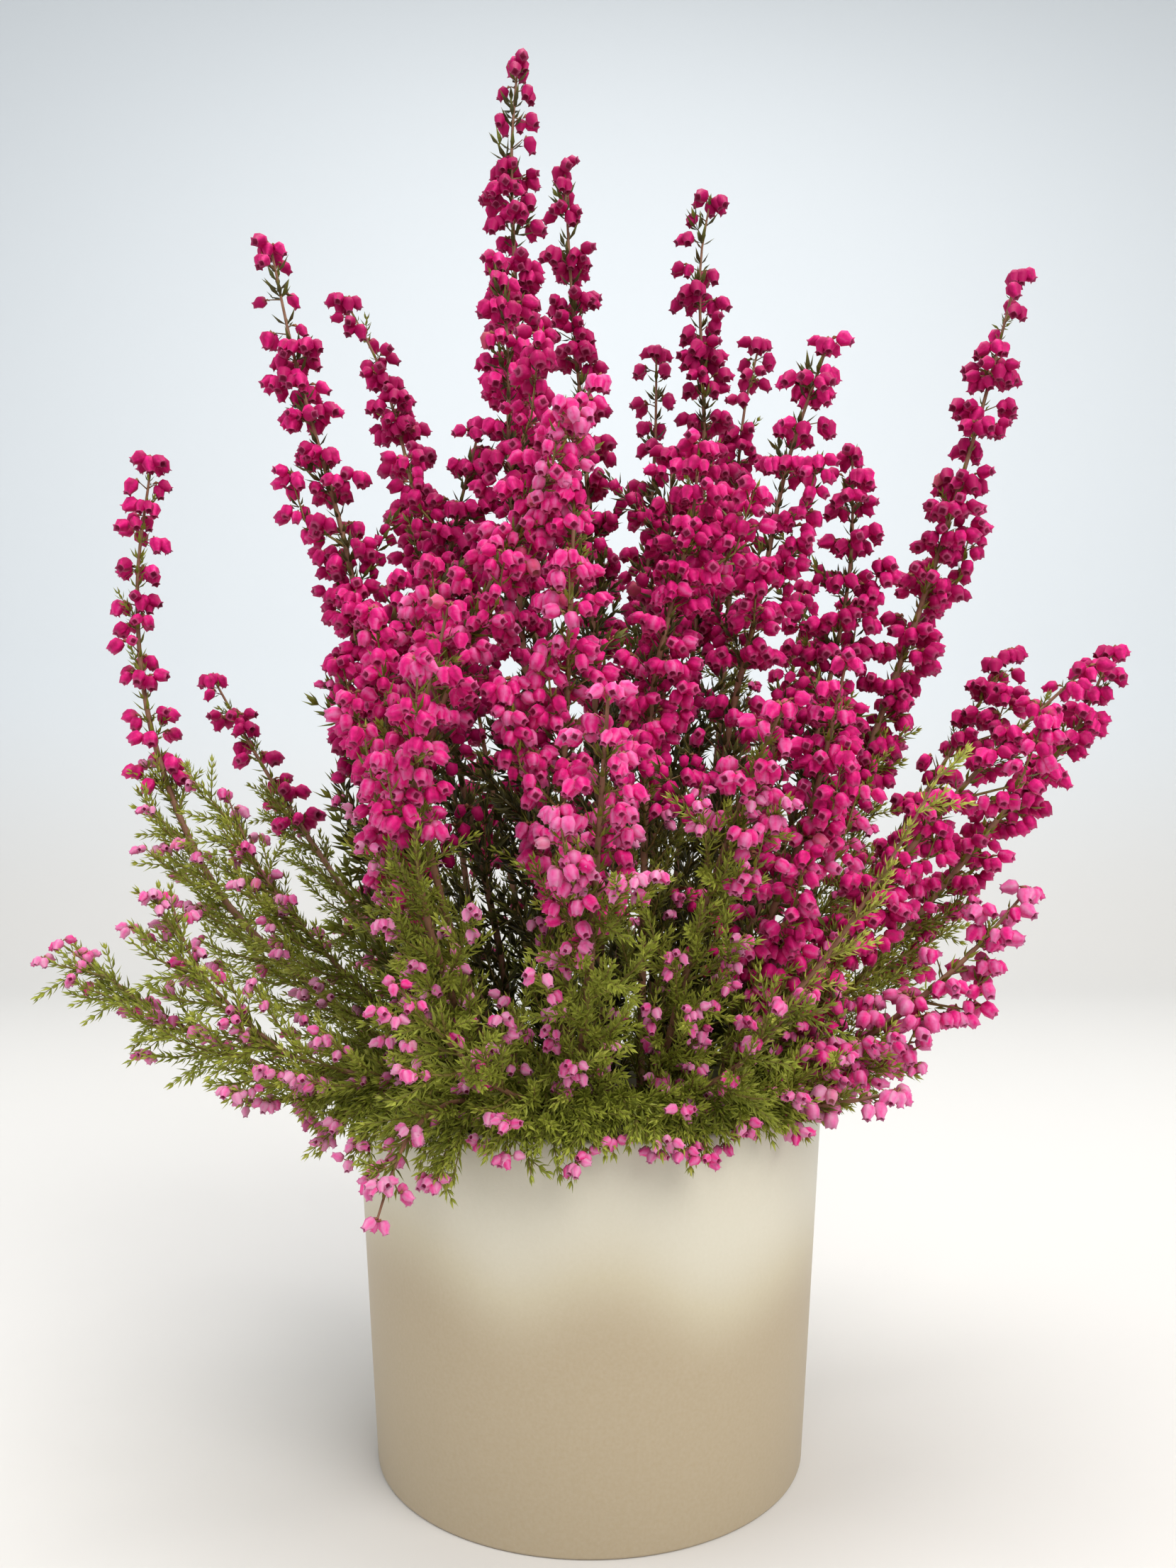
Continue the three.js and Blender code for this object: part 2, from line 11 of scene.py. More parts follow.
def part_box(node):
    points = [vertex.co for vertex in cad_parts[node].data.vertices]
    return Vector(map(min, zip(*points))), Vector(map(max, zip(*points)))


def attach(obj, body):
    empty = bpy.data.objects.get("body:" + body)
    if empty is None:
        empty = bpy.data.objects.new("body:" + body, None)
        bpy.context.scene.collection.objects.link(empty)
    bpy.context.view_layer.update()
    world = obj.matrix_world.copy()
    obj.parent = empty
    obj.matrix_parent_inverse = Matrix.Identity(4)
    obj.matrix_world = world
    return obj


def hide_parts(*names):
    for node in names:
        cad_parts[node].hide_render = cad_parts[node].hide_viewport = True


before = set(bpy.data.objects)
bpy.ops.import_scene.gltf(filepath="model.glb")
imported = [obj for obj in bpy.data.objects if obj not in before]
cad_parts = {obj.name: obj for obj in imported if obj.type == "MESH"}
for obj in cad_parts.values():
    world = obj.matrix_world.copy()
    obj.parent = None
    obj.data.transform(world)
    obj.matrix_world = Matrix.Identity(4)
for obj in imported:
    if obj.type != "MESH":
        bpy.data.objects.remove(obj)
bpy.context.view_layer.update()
mm = 0.001  # sizes below are in millimetres where no note says metres
up = Vector((0, 0, 1))


class Tie:
    # a socket that can be reckoned with
    def __init__(self, shader, socket):
        self.shader = shader
        self.socket = socket

    def math(self, operation, first, second):
        return self.shader.add("ShaderNodeMath", {"operation": operation}, {0: first, 1: second})

    def __add__(self, other):
        return self.math("ADD", self, other)

    def __radd__(self, other):
        return self.math("ADD", other, self)

    def __sub__(self, other):
        return self.math("SUBTRACT", self, other)

    def __rsub__(self, other):
        return self.math("SUBTRACT", other, self)

    def __mul__(self, other):
        return self.math("MULTIPLY", self, other)

    def __rmul__(self, other):
        return self.math("MULTIPLY", other, self)


class Shader:
    def __init__(self, name):
        self.material = bpy.data.materials.new(name)
        self.material.use_nodes = True
        self.tree = self.material.node_tree
        self.surface = self.tree.nodes["Principled BSDF"]

    def add(self, kind, settings=None, values=None, output=0):
        node = self.tree.nodes.new(kind)
        for key, setting in (settings or {}).items():
            if key == "stops":  # a ramp's places and colours
                ramp = node.color_ramp
                while len(ramp.elements) < len(setting):
                    ramp.elements.new(0.5)
                for element, (place, colour) in zip(ramp.elements, setting):
                    element.position = place
                    element.color = (*colour, 1)
            else:
                setattr(node, key, setting)
        for key, value in (values or {}).items():
            self.put(node.inputs[key], value)
        return Tie(self, node.outputs[output])

    def put(self, socket, value):
        if isinstance(value, Tie):
            self.tree.links.new(value.socket, socket)
        else:
            socket.default_value = value

    def finish(self, **values):
        for key, value in values.items():
            self.put(self.surface.inputs[key.replace("_", " ")], value)
        return self.material

    def attribute(self, name):
        return self.add("ShaderNodeAttribute", {"attribute_name": name}, output="Fac")

    def place(self, axis):
        where = self.add("ShaderNodeTexCoord", output="Object")
        return self.add("ShaderNodeSeparateXYZ", None, {0: where}, output=axis)

    def noise(self, scale, detail=3, roughness=0.5):
        where = self.add("ShaderNodeTexCoord", output="Object")
        values = {"Vector": where, "Scale": scale, "Detail": detail, "Roughness": roughness}
        return self.add("ShaderNodeTexNoise", None, values, output="Fac")

    def blend(self, share, low, high):
        settings = {"data_type": "RGBA", "clamp_factor": True}
        low, high = (colour if isinstance(colour, Tie) else (*colour, 1) for colour in (low, high))
        return self.add("ShaderNodeMix", settings, {0: share, 6: low, 7: high}, output=2)

    def smooth(self, value, low, high, kind="SMOOTHSTEP"):
        return self.add("ShaderNodeMapRange", {"interpolation_type": kind}, {0: value, 1: low, 2: high})

    def ramp(self, value, stops):
        return self.add("ShaderNodeValToRGB", {"stops": stops}, {0: value})

    def bump(self, height, distance, strength=1.0):
        values = {"Height": height, "Distance": distance, "Strength": strength}
        return self.add("ShaderNodeBump", None, values)


def turned(bm, outline, steps):
    # pairs of radius and height, spun round Z
    verts = [bm.verts.new((radius * mm, 0, height * mm)) for radius, height in outline]
    edges = [bm.edges.new(pair) for pair in zip(verts, verts[1:])]
    bmesh.ops.spin(bm, geom=verts + edges, cent=(0, 0, 0), axis=(0, 0, 1),
                   angle=2 * pi, steps=steps, use_merge=True)
    bmesh.ops.remove_doubles(bm, verts=bm.verts, dist=1e-7)
    bmesh.ops.recalc_face_normals(bm, faces=bm.faces)


def meshFrom(bm, name, smooth=None):
    mesh = bpy.data.meshes.new(name)
    bm.to_mesh(mesh)
    bm.free()
    if smooth is not None:
        mesh.polygons.foreach_set("use_smooth", [smooth] * len(mesh.polygons))
    return mesh


def addObject(name, data):
    made = bpy.data.objects.new(name, data)
    bpy.context.scene.collection.objects.link(made)
    return made


def showPiece(name, mesh, material, nodeName):
    mesh.materials.append(material)
    piece = addObject(name, mesh)
    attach(piece, "root")
    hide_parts(nodeName)


coverPot = {
    "wall": 2.2,
    "floor": 3,
    "edge": 0.9,
    "taper": 7,  # how much wider the rim is than the foot, in radius
    "recess": 0.5,  # under the base, inside its ring
    "ring": (9, 8),  # the inner foot and edge of that ring, in from the outside
    # the inside of the wall's foot, as pairs of how far in from the wall and how far above the floor
    "inside": [(-1.2, 12), (1.5, 0.6), (4, 0)],
    "wallLoops": (0.3, 0.6, 0.9),
    "segments": 144,
    # painted light and shade of the see-through wall: lighter at the top where light comes in past the
    # nursery pot, painted shade of the nursery pot and soil behind the wall below
    "litTop": (0.63, 0.59, 0.475),
    "litFading": (0.53, 0.465, 0.325),
    "shadedLow": (0.405, 0.32, 0.2),
    "frost": (1, 0.98, 0.94),
    # in metres: the height where the painted light of the top turns to the painted shade below, how
    # softly, and how unevenly
    "shadeLine": 0.0675,
    "blur": 0.024,
    "drift": 0.008,
    # the tilt and wave of that line, partly painted shadow of the leaves
    "shadeWave": {"at": 0.0055, "length": 0.055, "height": 0.004, "slope": 0.11},
}
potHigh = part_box("cover_pot")[1]
potRim, potHeight = potHigh[0] / mm, potHigh[2] / mm


def arc(centre, radius, start, end, steps):
    turns = [radians(start + (end - start) * step / steps) for step in range(steps + 1)]
    return [(centre[0] + radius * cos(turn), centre[1] + radius * sin(turn)) for turn in turns]


def makeCoverPot():
    wall, floor, edge, recess = (coverPot[key] for key in ("wall", "floor", "edge", "recess"))
    base = potRim - coverPot["taper"]
    ringFoot, ringEdge = coverPot["ring"]
    outline = [(0, recess), (base - ringFoot, recess), (base - ringEdge, 0), (base - edge, 0)]
    outline += arc((base - edge, edge), edge, -70, 0, 4)
    outline += [(base + (potRim - base) * share, potHeight * share) for share in coverPot["wallLoops"]]
    outline += arc((potRim - wall / 2, potHeight - wall / 2), wall / 2, 0, 180, 8)
    outline += [(base - wall - inwards, floor + rise) for inwards, rise in coverPot["inside"]]
    outline.append((0, floor))
    bm = bmesh.new()
    turned(bm, outline, coverPot["segments"])
    return meshFrom(bm, "coverPot", smooth=True)


def potFinish():
    shader = Shader("satinPot")
    height, across = shader.place("Z"), shader.place("X")
    shadeWave, blur = coverPot["shadeWave"], coverPot["blur"]
    # painted light above a wavy line, painted shade below it
    turn = (across - shadeWave["at"]) * (2 * pi / shadeWave["length"])
    wave = shader.add("ShaderNodeMath", {"operation": "COSINE"}, {0: turn})
    drift = coverPot["drift"] * (shader.noise(14, 2) - 0.5)
    shadeLine = coverPot["shadeLine"] - shadeWave["slope"] * across + shadeWave["height"] * wave + drift
    share = shader.smooth(height - shadeLine, -blur, blur, "SMOOTHERSTEP")
    colour = shader.ramp(share, [(0, coverPot["shadedLow"]), (0.5, coverPot["litFading"]), (1, coverPot["litTop"])])
    grain = shader.noise(1100, 2)
    colour = shader.blend(grain * 0.08, colour, coverPot["frost"])
    bump = shader.bump(shader.noise(1600, 1), 0.00005, 0.5)
    return shader.finish(Base_Color=colour, Roughness=0.4 + 0.08 * grain, Normal=bump)


showPiece("cover_pot_wall", makeCoverPot(), potFinish(), "cover_pot")
print("cover pot made")


nursery = {"dark": (0.10, 0.062, 0.042), "pale": (0.145, 0.088, 0.06)}


def nurseryFinish():
    shader = Shader("nurseryPlastic")
    grain = shader.noise(300, 3)
    colour = shader.blend(grain, nursery["dark"], nursery["pale"])
    return shader.finish(Base_Color=colour, Roughness=0.5 + 0.1 * grain)


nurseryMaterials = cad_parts["nursery_pot"].data.materials
nurseryMaterials.clear()
nurseryMaterials.append(nurseryFinish())
print("nursery pot dressed")


soil = {
    "crown": 2,
    "crownRadius": 58,  # where the crown ends
    "floorRadius": 42,
    "side": (2.5, 18),  # a point of its side: in from the edge, and below it
    "gap": 0.4,
    "rings": 16,
    "segments": 72,
    "lump": 0.72,
    "stops": [(0.35, (0.012, 0.008, 0.005)), (0.55, (0.045, 0.027, 0.017)), (0.75, (0.10, 0.065, 0.04))],
}
soilLow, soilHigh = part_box("soil")
soilEdge = soilHigh[2] / mm - soil["crown"]
soilRadius = soilHigh[0] / mm


def soilHeightAt(radius):
    return soilEdge + soil["crown"] * (1 - (radius / soil["crownRadius"]) ** 2)


def makeSoil():
    dice = random.Random("peat")
    low = soilLow[2] / mm
    inwards, below = soil["side"]
    outline = [(0, low), (soil["floorRadius"], low), (soilRadius - inwards, soilEdge - below)]
    shares = [1 - ring / soil["rings"] for ring in range(soil["rings"])] + [0]
    outline += [((soilRadius - soil["gap"]) * share, soilHeightAt(soilRadius * share)) for share in shares]
    bm = bmesh.new()
    turned(bm, outline, soil["segments"])
    for vert in bm.verts:
        if vert.co.z > (soilEdge - 1) * mm:
            lump = Vector((dice.uniform(-1, 1), dice.uniform(-1, 1), dice.uniform(-1, 1)))
            vert.co += lump * soil["lump"] * mm
    return meshFrom(bm, "soilBody", smooth=True)


def soilFinish():
    shader = Shader("peat")
    coarse, fine = shader.noise(260, 4, 0.7), shader.noise(900, 3, 0.6)
    bump = shader.bump(coarse * 0.7 + fine * 0.3, 0.0015)
    return shader.finish(Base_Color=shader.ramp(coarse, soil["stops"]), Roughness=0.95, Normal=bump)


showPiece("soil_body", makeSoil(), soilFinish(), "soil")
print("soil made")


feet = {
    "left": (-38, -4), "left_front": (-26, -28), "inner_left": (-18, -8), "back_left": (-26, 24),
    "centre": (-4, 4), "inner_back": (6, 22), "back": (-8, 40), "back_right": (26, 32),
    "inner_right": (20, 6), "right": (40, 2), "right_front": (32, -24), "front": (-4, -36),
    "front_right": (14, -24),
}
foot = {
    "radius": 2.6,
    "shows": 5,  # above the soil
    "lineOut": 1.6,  # how far from its middle a spray leaves it
    # its shape, as pairs of height over its top and share of the radius
    "shape": [(-18.5, 0.8), (-6, 1), (-2, 0.95), (1, 0.6)],
    "inner": 25,  # feet nearer the middle than this are hidden by the others
}

# heights for a spray that doesn't bloom, and for one that blooms where it has passed the pot's rim
never, pastRim = 999, 0
# name: foot, height where the bloom starts, tone from pale to deep, thickness of its bloom, then its way
sprays = {
    "left_outer": ("left", 188, 0.7, 2.4, [
        (-58, 4, 112), (-98, 10, 142), (-124, 15, 170), (-144, 20, 215), (-150, 20, 262),
        (-146, 20, 307)]),
    "left_low": ("left", 118, 0.1, 1.3, [
        (-56, -20, 110), (-80, -32, 113), (-104, -32, 122), (-128, -27, 134), (-154, -22, 150)]),
    "left_leafy": ("left", 150, 0.1, 1.4, [
        (-52, -8, 120), (-78, -12, 145), (-98, -13, 170), (-110, -12, 195)]),
    "left_front_low": ("left_front", 124, 0.15, 1.3, [
        (-48, -40, 112), (-78, -47, 121), (-98, -46, 136), (-110, -43, 150), (-116, -40, 165)]),
    "left_front": ("left_front", 172, 0.5, 3.2, [
        (-34, -50, 130), (-42, -70, 165), (-42, -82, 200), (-34, -86, 236)]),
    "front_leaning": ("left_front", 200, 0.45, 3.2, [
        (-32, -40, 135), (-40, -50, 165), (-44, -56, 197), (-30, -60, 238), (-14, -60, 272),
        (2, -56, 304)]),
    "front_drooping": ("left_front", pastRim, 0.1, 1.2, [
        (-25, -49, 109), (-34, -66, 114), (-42, -80, 111), (-46, -92, 102), (-48, -97, 94)]),
    "left_tall": ("inner_left", 205, 0.75, 3, [
        (-40, -8, 130), (-58, -6, 172), (-68, -2, 221), (-76, 0, 269), (-93, 0, 330), (-102, 0, 370)]),
    "inner_left": ("inner_left", 205, 0.7, 3.4, [
        (-28, -6, 150), (-42, 0, 210), (-46, 6, 262), (-36, 16, 318)]),
    "left_mid": ("inner_left", 165, 0.6, 3.2, [
        (-36, -22, 130), (-50, -28, 170), (-58, -32, 215), (-55, -32, 256)]),
    "back_left_tall": ("back_left", 235, 0.9, 2.8, [
        (-36, 34, 130), (-48, 46, 200), (-60, 58, 285), (-76, 66, 350), (-93, 70, 386)]),
    "back_left_outer": ("back_left", 185, 0.8, 2.2, [
        (-56, 40, 122), (-92, 58, 168), (-120, 72, 205), (-144, 80, 243)]),
    "back_left_low": ("back_left", 122, 0.2, 1.4, [(-46, 56, 114), (-70, 84, 128), (-92, 106, 156)]),
    "tallest": ("centre", 262, 0.85, 3, [
        (-12, 6, 180), (-20, 10, 280), (-25, 15, 374), (-26, 15, 410), (-24, 15, 441)]),
    "centre": ("centre", 200, 0.7, 3.2, [
        (-14, -8, 170), (-21, -16, 250), (-24, -20, 293), (-25, -15, 332), (-29, -10, 360)]),
    "second_tallest": ("inner_back", 265, 0.95, 3, [
        (3, 30, 180), (0, 38, 290), (-6, 42, 370), (-9, 45, 422)]),
    "back_small": ("inner_back", 255, 1, 2.4, [
        (12, 46, 170), (20, 64, 260), (25, 76, 330), (26, 80, 370)]),
    "rear_left": ("back", 160, 0.85, 3, [
        (-20, 60, 130), (-36, 82, 195), (-48, 98, 255), (-54, 104, 296)]),
    "rear": ("back", 160, 0.85, 3, [(2, 70, 130), (6, 92, 195), (6, 108, 255), (4, 114, 300)]),
    "rear_low": ("back", 120, 0.2, 1.4, [(4, 76, 114), (14, 106, 124), (20, 130, 148)]),
    "back_right_tall": ("inner_right", 250, 0.9, 2.8, [
        (28, 22, 160), (36, 36, 250), (41, 47, 316), (40, 50, 383), (44, 50, 413)]),
    "back_right_small": ("back_right", 260, 1, 2.2, [
        (38, 42, 150), (50, 62, 250), (58, 76, 335), (66, 80, 373)]),
    "rear_right": ("back_right", 160, 0.85, 3, [
        (44, 60, 130), (64, 82, 190), (80, 100, 245), (90, 108, 285)]),
    "back_right_low": ("back_right", 126, 0.2, 1.4, [
        (44, 46, 113), (66, 66, 121), (90, 84, 136), (110, 98, 162)]),
    "right_mid": ("inner_right", 195, 0.65, 3.2, [
        (32, -4, 150), (43, -10, 217), (51, -14, 251), (60, -15, 294), (73, -15, 332)]),
    "inner_right": ("inner_right", 200, 0.7, 3.2, [(20, 2, 180), (25, 2, 250), (26, 0, 303)]),
    "right_inner": ("inner_right", 205, 0.75, 3, [
        (44, 6, 140), (62, 6, 180), (77, 7, 233), (84, 8, 270), (85, 8, 305)]),
    "right_tall": ("right", 190, 0.8, 3, [
        (56, 8, 130), (80, 14, 182), (98, 17, 228), (112, 18, 265), (130, 20, 320), (144, 20, 371)]),
    "right_outer": ("right", 148, 0.7, 2.6, [
        (66, 4, 118), (102, 8, 154), (134, 12, 190), (158, 18, 214), (173, 20, 243)]),
    "back_right_outer": ("right", 160, 0.85, 2.6, [
        (58, 26, 120), (92, 46, 158), (126, 60, 204), (157, 70, 251)]),
    "right_front": ("right_front", 136, 0.6, 2.8, [
        (54, -22, 128), (84, -20, 165), (114, -20, 200), (147, -20, 231)]),
    "right_low": ("right_front", 114, 0.25, 1.8, [
        (56, -30, 112), (82, -35, 128), (106, -36, 148), (124, -32, 166)]),
    "right_rim": ("right_front", 109.5, 0.1, 1.2, [(44, -40, 108), (62, -52, 110), (80, -55, 114)]),
    "right_near": ("right_front", 136, 0.5, 3, [(44, -32, 140), (60, -42, 185), (70, -48, 229)]),
    "right_shoot": ("right_front", never, 0, 1.2, [
        (40, -44, 120), (62, -58, 150), (78, -64, 176), (90, -64, 197)]),
    "front": ("front", 165, 0.45, 3.2, [(-6, -46, 140), (-7, -60, 190), (-5, -68, 235), (-4, -70, 268)]),
    "nearest": ("front", 163, 0.35, 3, [(-2, -62, 125), (0, -84, 150), (2, -100, 182), (4, -112, 212)]),
    "front_low": ("front", 116, 0.2, 1.5, [
        (-10, -58, 110), (-22, -76, 119), (-33, -88, 132), (-45, -95, 147)]),
    "front_right": ("front_right", 182, 0.55, 3.2, [
        (15, -32, 150), (17, -40, 217), (28, -42, 266), (31, -40, 292)]),
    "front_right_near": ("front_right", 178, 0.4, 3, [
        (22, -48, 130), (30, -66, 165), (38, -80, 192), (46, -90, 212)]),
    "front_right_low": ("front_right", 118, 0.2, 1.5, [(24, -54, 112), (36, -74, 124), (52, -86, 144)]),
}


def radiusOf(point):
    return hypot(point[0], point[1])


def topOf(footName):
    x, y = feet[footName]
    return Vector((x, y, soilHeightAt(hypot(x, y)) + foot["shows"]))


class Line:
    # a smooth route through points, read by the distance along it
    def __init__(self, points, steps=12):
        points = [Vector(point) for point in points]
        held = [2 * points[0] - points[1], *points, 2 * points[-1] - points[-2]]
        self.points = []
        for a, b, c, d in zip(held, held[1:], held[2:], held[3:]):
            bend = 2 * a - 5 * b + 4 * c - d
            twist = 3 * b - a - 3 * c + d
            for step in range(steps):
                t = step / steps
                self.points.append((2 * b + (c - a) * t + bend * t * t + twist * t ** 3) / 2)
        self.points.append(points[-1])
        self.marks = [0]
        for before, after in zip(self.points, self.points[1:]):
            self.marks.append(self.marks[-1] + (after - before).length)
        self.length = self.marks[-1]

    def at(self, distance):
        distance = min(max(distance, 0), self.length * 0.9999)
        index = bisect_right(self.marks, distance) - 1
        before, after = self.points[index], self.points[index + 1]
        share = (distance - self.marks[index]) / (self.marks[index + 1] - self.marks[index])
        return before.lerp(after, share), (after - before).normalized()


def lineOf(name):
    top, way = topOf(sprays[name][0]), sprays[name][-1]
    turn = atan2(way[0][1] - top.y, way[0][0] - top.x)
    return Line([top + Vector((cos(turn), sin(turn), 0)) * foot["lineOut"], *way])


def bloomStartOf(name, line):
    height = sprays[name][1]
    for distance in range(int(line.length)):
        point = line.at(distance)[0]
        isPastRim = radiusOf(point) > potRim + clear["outside"]
        if isPastRim if height == pastRim else point.z > height:
            return distance
    return line.length


# small shapes that repeat

bell = {
    # radius, depth below its stalk and place along it, from the shoulder to the pit of the mouth
    "outline": [(0, 0, 0), (1.5, 0.5, 0.15), (2.05, 2.1, 0.5), (1.05, 4.0, 0.8), (1.35, 4.7, 1),
                (0, 3.3, 1.5)],
    # a plainer one without its throat, for the crowded parts of the bloom
    "plain": [(0, 0, 0), (1.6, 0.7, 0.15), (1.95, 2.3, 0.5), (1.35, 4.5, 1), (0, 3.2, 1.5)],
    "sides": 8,
    # a bud, for the dark inside of the bloom
    "bud": [(0, 0, 0), (1.8, 1.3, 0.3), (1.45, 3.5, 0.6), (0, 4.4, 0.9)],
    "budSides": 4,
    "notch": 0.74,
    "notchLift": 0.4,
    "groove": 0.9,  # how far in the four grooves between the lobes lie
    "nods": [-15, 12, 35, 55, 72, 88],  # degrees below level
    # the stalk leaves its twig at the root, bends at the elbow and ends inside the bell
    "stalkRoot": (-0.5, 0, -0.3),
    "stalkElbow": (0.9, 0, 0.8),
    "stalkReach": (0.5, 0, 0.1),
    "stalkHang": 0.5,
    "stalkEnd": 0.9,
    "stalkRadius": 0.22,
}
leaf = {"wide": 0.5, "keel": 0.34, "widest": 0.42}
rod = {"sides": 3, "taper": 0.6}


def bellMesh(nod, outline):
    bm = bmesh.new()
    isBud = outline is bell["bud"]
    sides = bell["budSides"] if isBud else bell["sides"]
    turned(bm, [(radius, -depth) for radius, depth, along in outline], sides)
    along = bm.verts.layers.float.new("along")
    groove = bm.verts.layers.float.new("groove")
    lip = len(outline) - 2
    for vert in bm.verts:
        radius, depth = hypot(vert.co.x, vert.co.y) / mm, -vert.co.z / mm
        gaps = [hypot(ring[0] - radius, ring[1] - depth) for ring in outline]
        ring = gaps.index(min(gaps))
        vert[along] = outline[ring][2]
        side = round(degrees(atan2(vert.co.y, vert.co.x)) / 360 * sides)
        # four lobes, with a groove that ends in a notch between each two
        if 0 < ring <= lip and side % 2 and not isBud:
            across = bell["notch"] if ring == lip else bell["groove"]
            vert.co.x *= across
            vert.co.y *= across
            vert.co.z += bell["notchLift"] * mm if ring == lip else 0
            vert[groove] = 1
    fall = radians(nod)
    heading = Vector((cos(fall), 0, -sin(fall)))
    elbow = Vector(bell["stalkElbow"]) * mm
    crown = elbow + Vector(bell["stalkReach"]) * mm + heading * bell["stalkHang"] * mm
    hang = Matrix.Translation(crown) @ Matrix.Rotation(fall - pi / 2, 4, "Y")
    bmesh.ops.transform(bm, matrix=hang, verts=bm.verts)
    root, end = Vector(bell["stalkRoot"]) * mm, crown + heading * bell["stalkEnd"] * mm
    aside = Vector((0, bell["stalkRadius"], 0)) * mm
    stalk = [bm.verts.new(spot) for spot in (root, elbow + aside, elbow - aside, end)]
    for vert in stalk:
        vert[along] = -1
    bmesh.ops.convex_hull(bm, input=stalk)
    bmesh.ops.recalc_face_normals(bm, faces=bm.faces)
    return meshFrom(bm, "bell", smooth=True)


def leafMesh():
    # one unit long and wide: a keeled sliver that bows away from the shoot
    bm = bmesh.new()
    along = bm.verts.layers.float.new("along")
    wide, keel, widest = leaf["wide"] * mm, leaf["keel"] * mm, leaf["widest"] * mm
    for spot in ((0, 0, 0), (keel, wide, widest), (keel, -wide, widest), (0, 0, mm)):
        vert = bm.verts.new(spot)
        vert[along] = spot[2] / mm
    bmesh.ops.convex_hull(bm, input=bm.verts)
    bmesh.ops.recalc_face_normals(bm, faces=bm.faces)
    return meshFrom(bm, "leaf", smooth=False)


def rodMesh():
    bm = bmesh.new()
    bmesh.ops.create_cone(bm, cap_ends=True, cap_tris=False, segments=rod["sides"], radius1=mm,
                          radius2=rod["taper"] * mm, depth=mm, matrix=Matrix.Translation((0, 0, mm / 2)))
    return meshFrom(bm, "rod", smooth=True)


bells, plainBells, buds = ([bellMesh(nod, bell[outline]) for nod in bell["nods"]]
                           for outline in ("outline", "plain", "bud"))
oneLeaf = leafMesh()
oneRod = rodMesh()
print("bells, leaf and twig shaped")


class Bunch:
    # many copies of small shapes in one mesh, each copy with its own values
    def __init__(self, *layers):
        self.bm = bmesh.new()
        self.layers = layers
        self.marks = []
        for layer in ("along", "groove"):
            self.bm.verts.layers.float.new(layer)

    def put(self, template, matrix, *values):
        copy = template.copy()
        copy.transform(matrix)
        self.bm.from_mesh(copy)
        self.marks.append((len(copy.vertices), values))
        bpy.data.meshes.remove(copy)

    def mesh(self, name):
        counts = [count for count, values in self.marks]
        mesh = meshFrom(self.bm, name)
        for column, layer in enumerate(self.layers):
            values = np.repeat([values[column] for count, values in self.marks], counts)
            data = mesh.attributes.new(layer, "FLOAT", "POINT").data
            data.foreach_set("value", values.astype(np.float32))
        return mesh


class Stems:
    # many round stems as one curve, each a list of points with their radii
    def __init__(self, name, sides):
        self.curve = bpy.data.curves.new(name, "CURVE")
        self.curve.dimensions = "3D"
        self.curve.bevel_depth = mm
        self.curve.bevel_resolution = (sides - 4) // 2
        self.curve.use_fill_caps = True

    def add(self, points, radii):
        spline = self.curve.splines.new("POLY")
        spline.points.add(len(points) - 1)
        for spot, point, radius in zip(spline.points, points, radii):
            spot.co = (*(point * mm), 1)
            spot.radius = radius

    def mesh(self):
        holder = bpy.data.objects.new("holder", self.curve)
        mesh = bpy.data.meshes.new_from_object(holder)
        bpy.data.objects.remove(holder)
        mesh.polygons.foreach_set("use_smooth", [True] * len(mesh.polygons))
        return mesh


def placed(point, along, out, width, length):
    # a unit shape's Z goes along, its X outwards
    side = along.cross(out).normalized()
    out = side.cross(along).normalized()
    turn = Matrix((out, side, along)).transposed().to_4x4()
    return Matrix.Translation(point * mm) @ turn @ Matrix.Diagonal((width, width, length, 1))


def around(along, turn):
    # a direction square to a stem, turned about it
    across = along.cross(up)
    if across.length < 0.1:
        across = along.cross(Vector((0, 1, 0)))
    across.normalize()
    return Matrix.Rotation(turn, 3, along) @ across


def outside(point, along, turn):
    # the same, but on the side away from the middle of the plant
    across = around(along, turn)
    inwards = across.x * point.x + across.y * point.y < -0.25 * radiusOf(point)
    return -across if inwards else across


def leaned(along, out, degreesRange, dice):
    lean = radians(dice.uniform(*degreesRange))
    return (along * cos(lean) + out * sin(lean)).normalized()


# growing the plant

golden = radians(137.5)
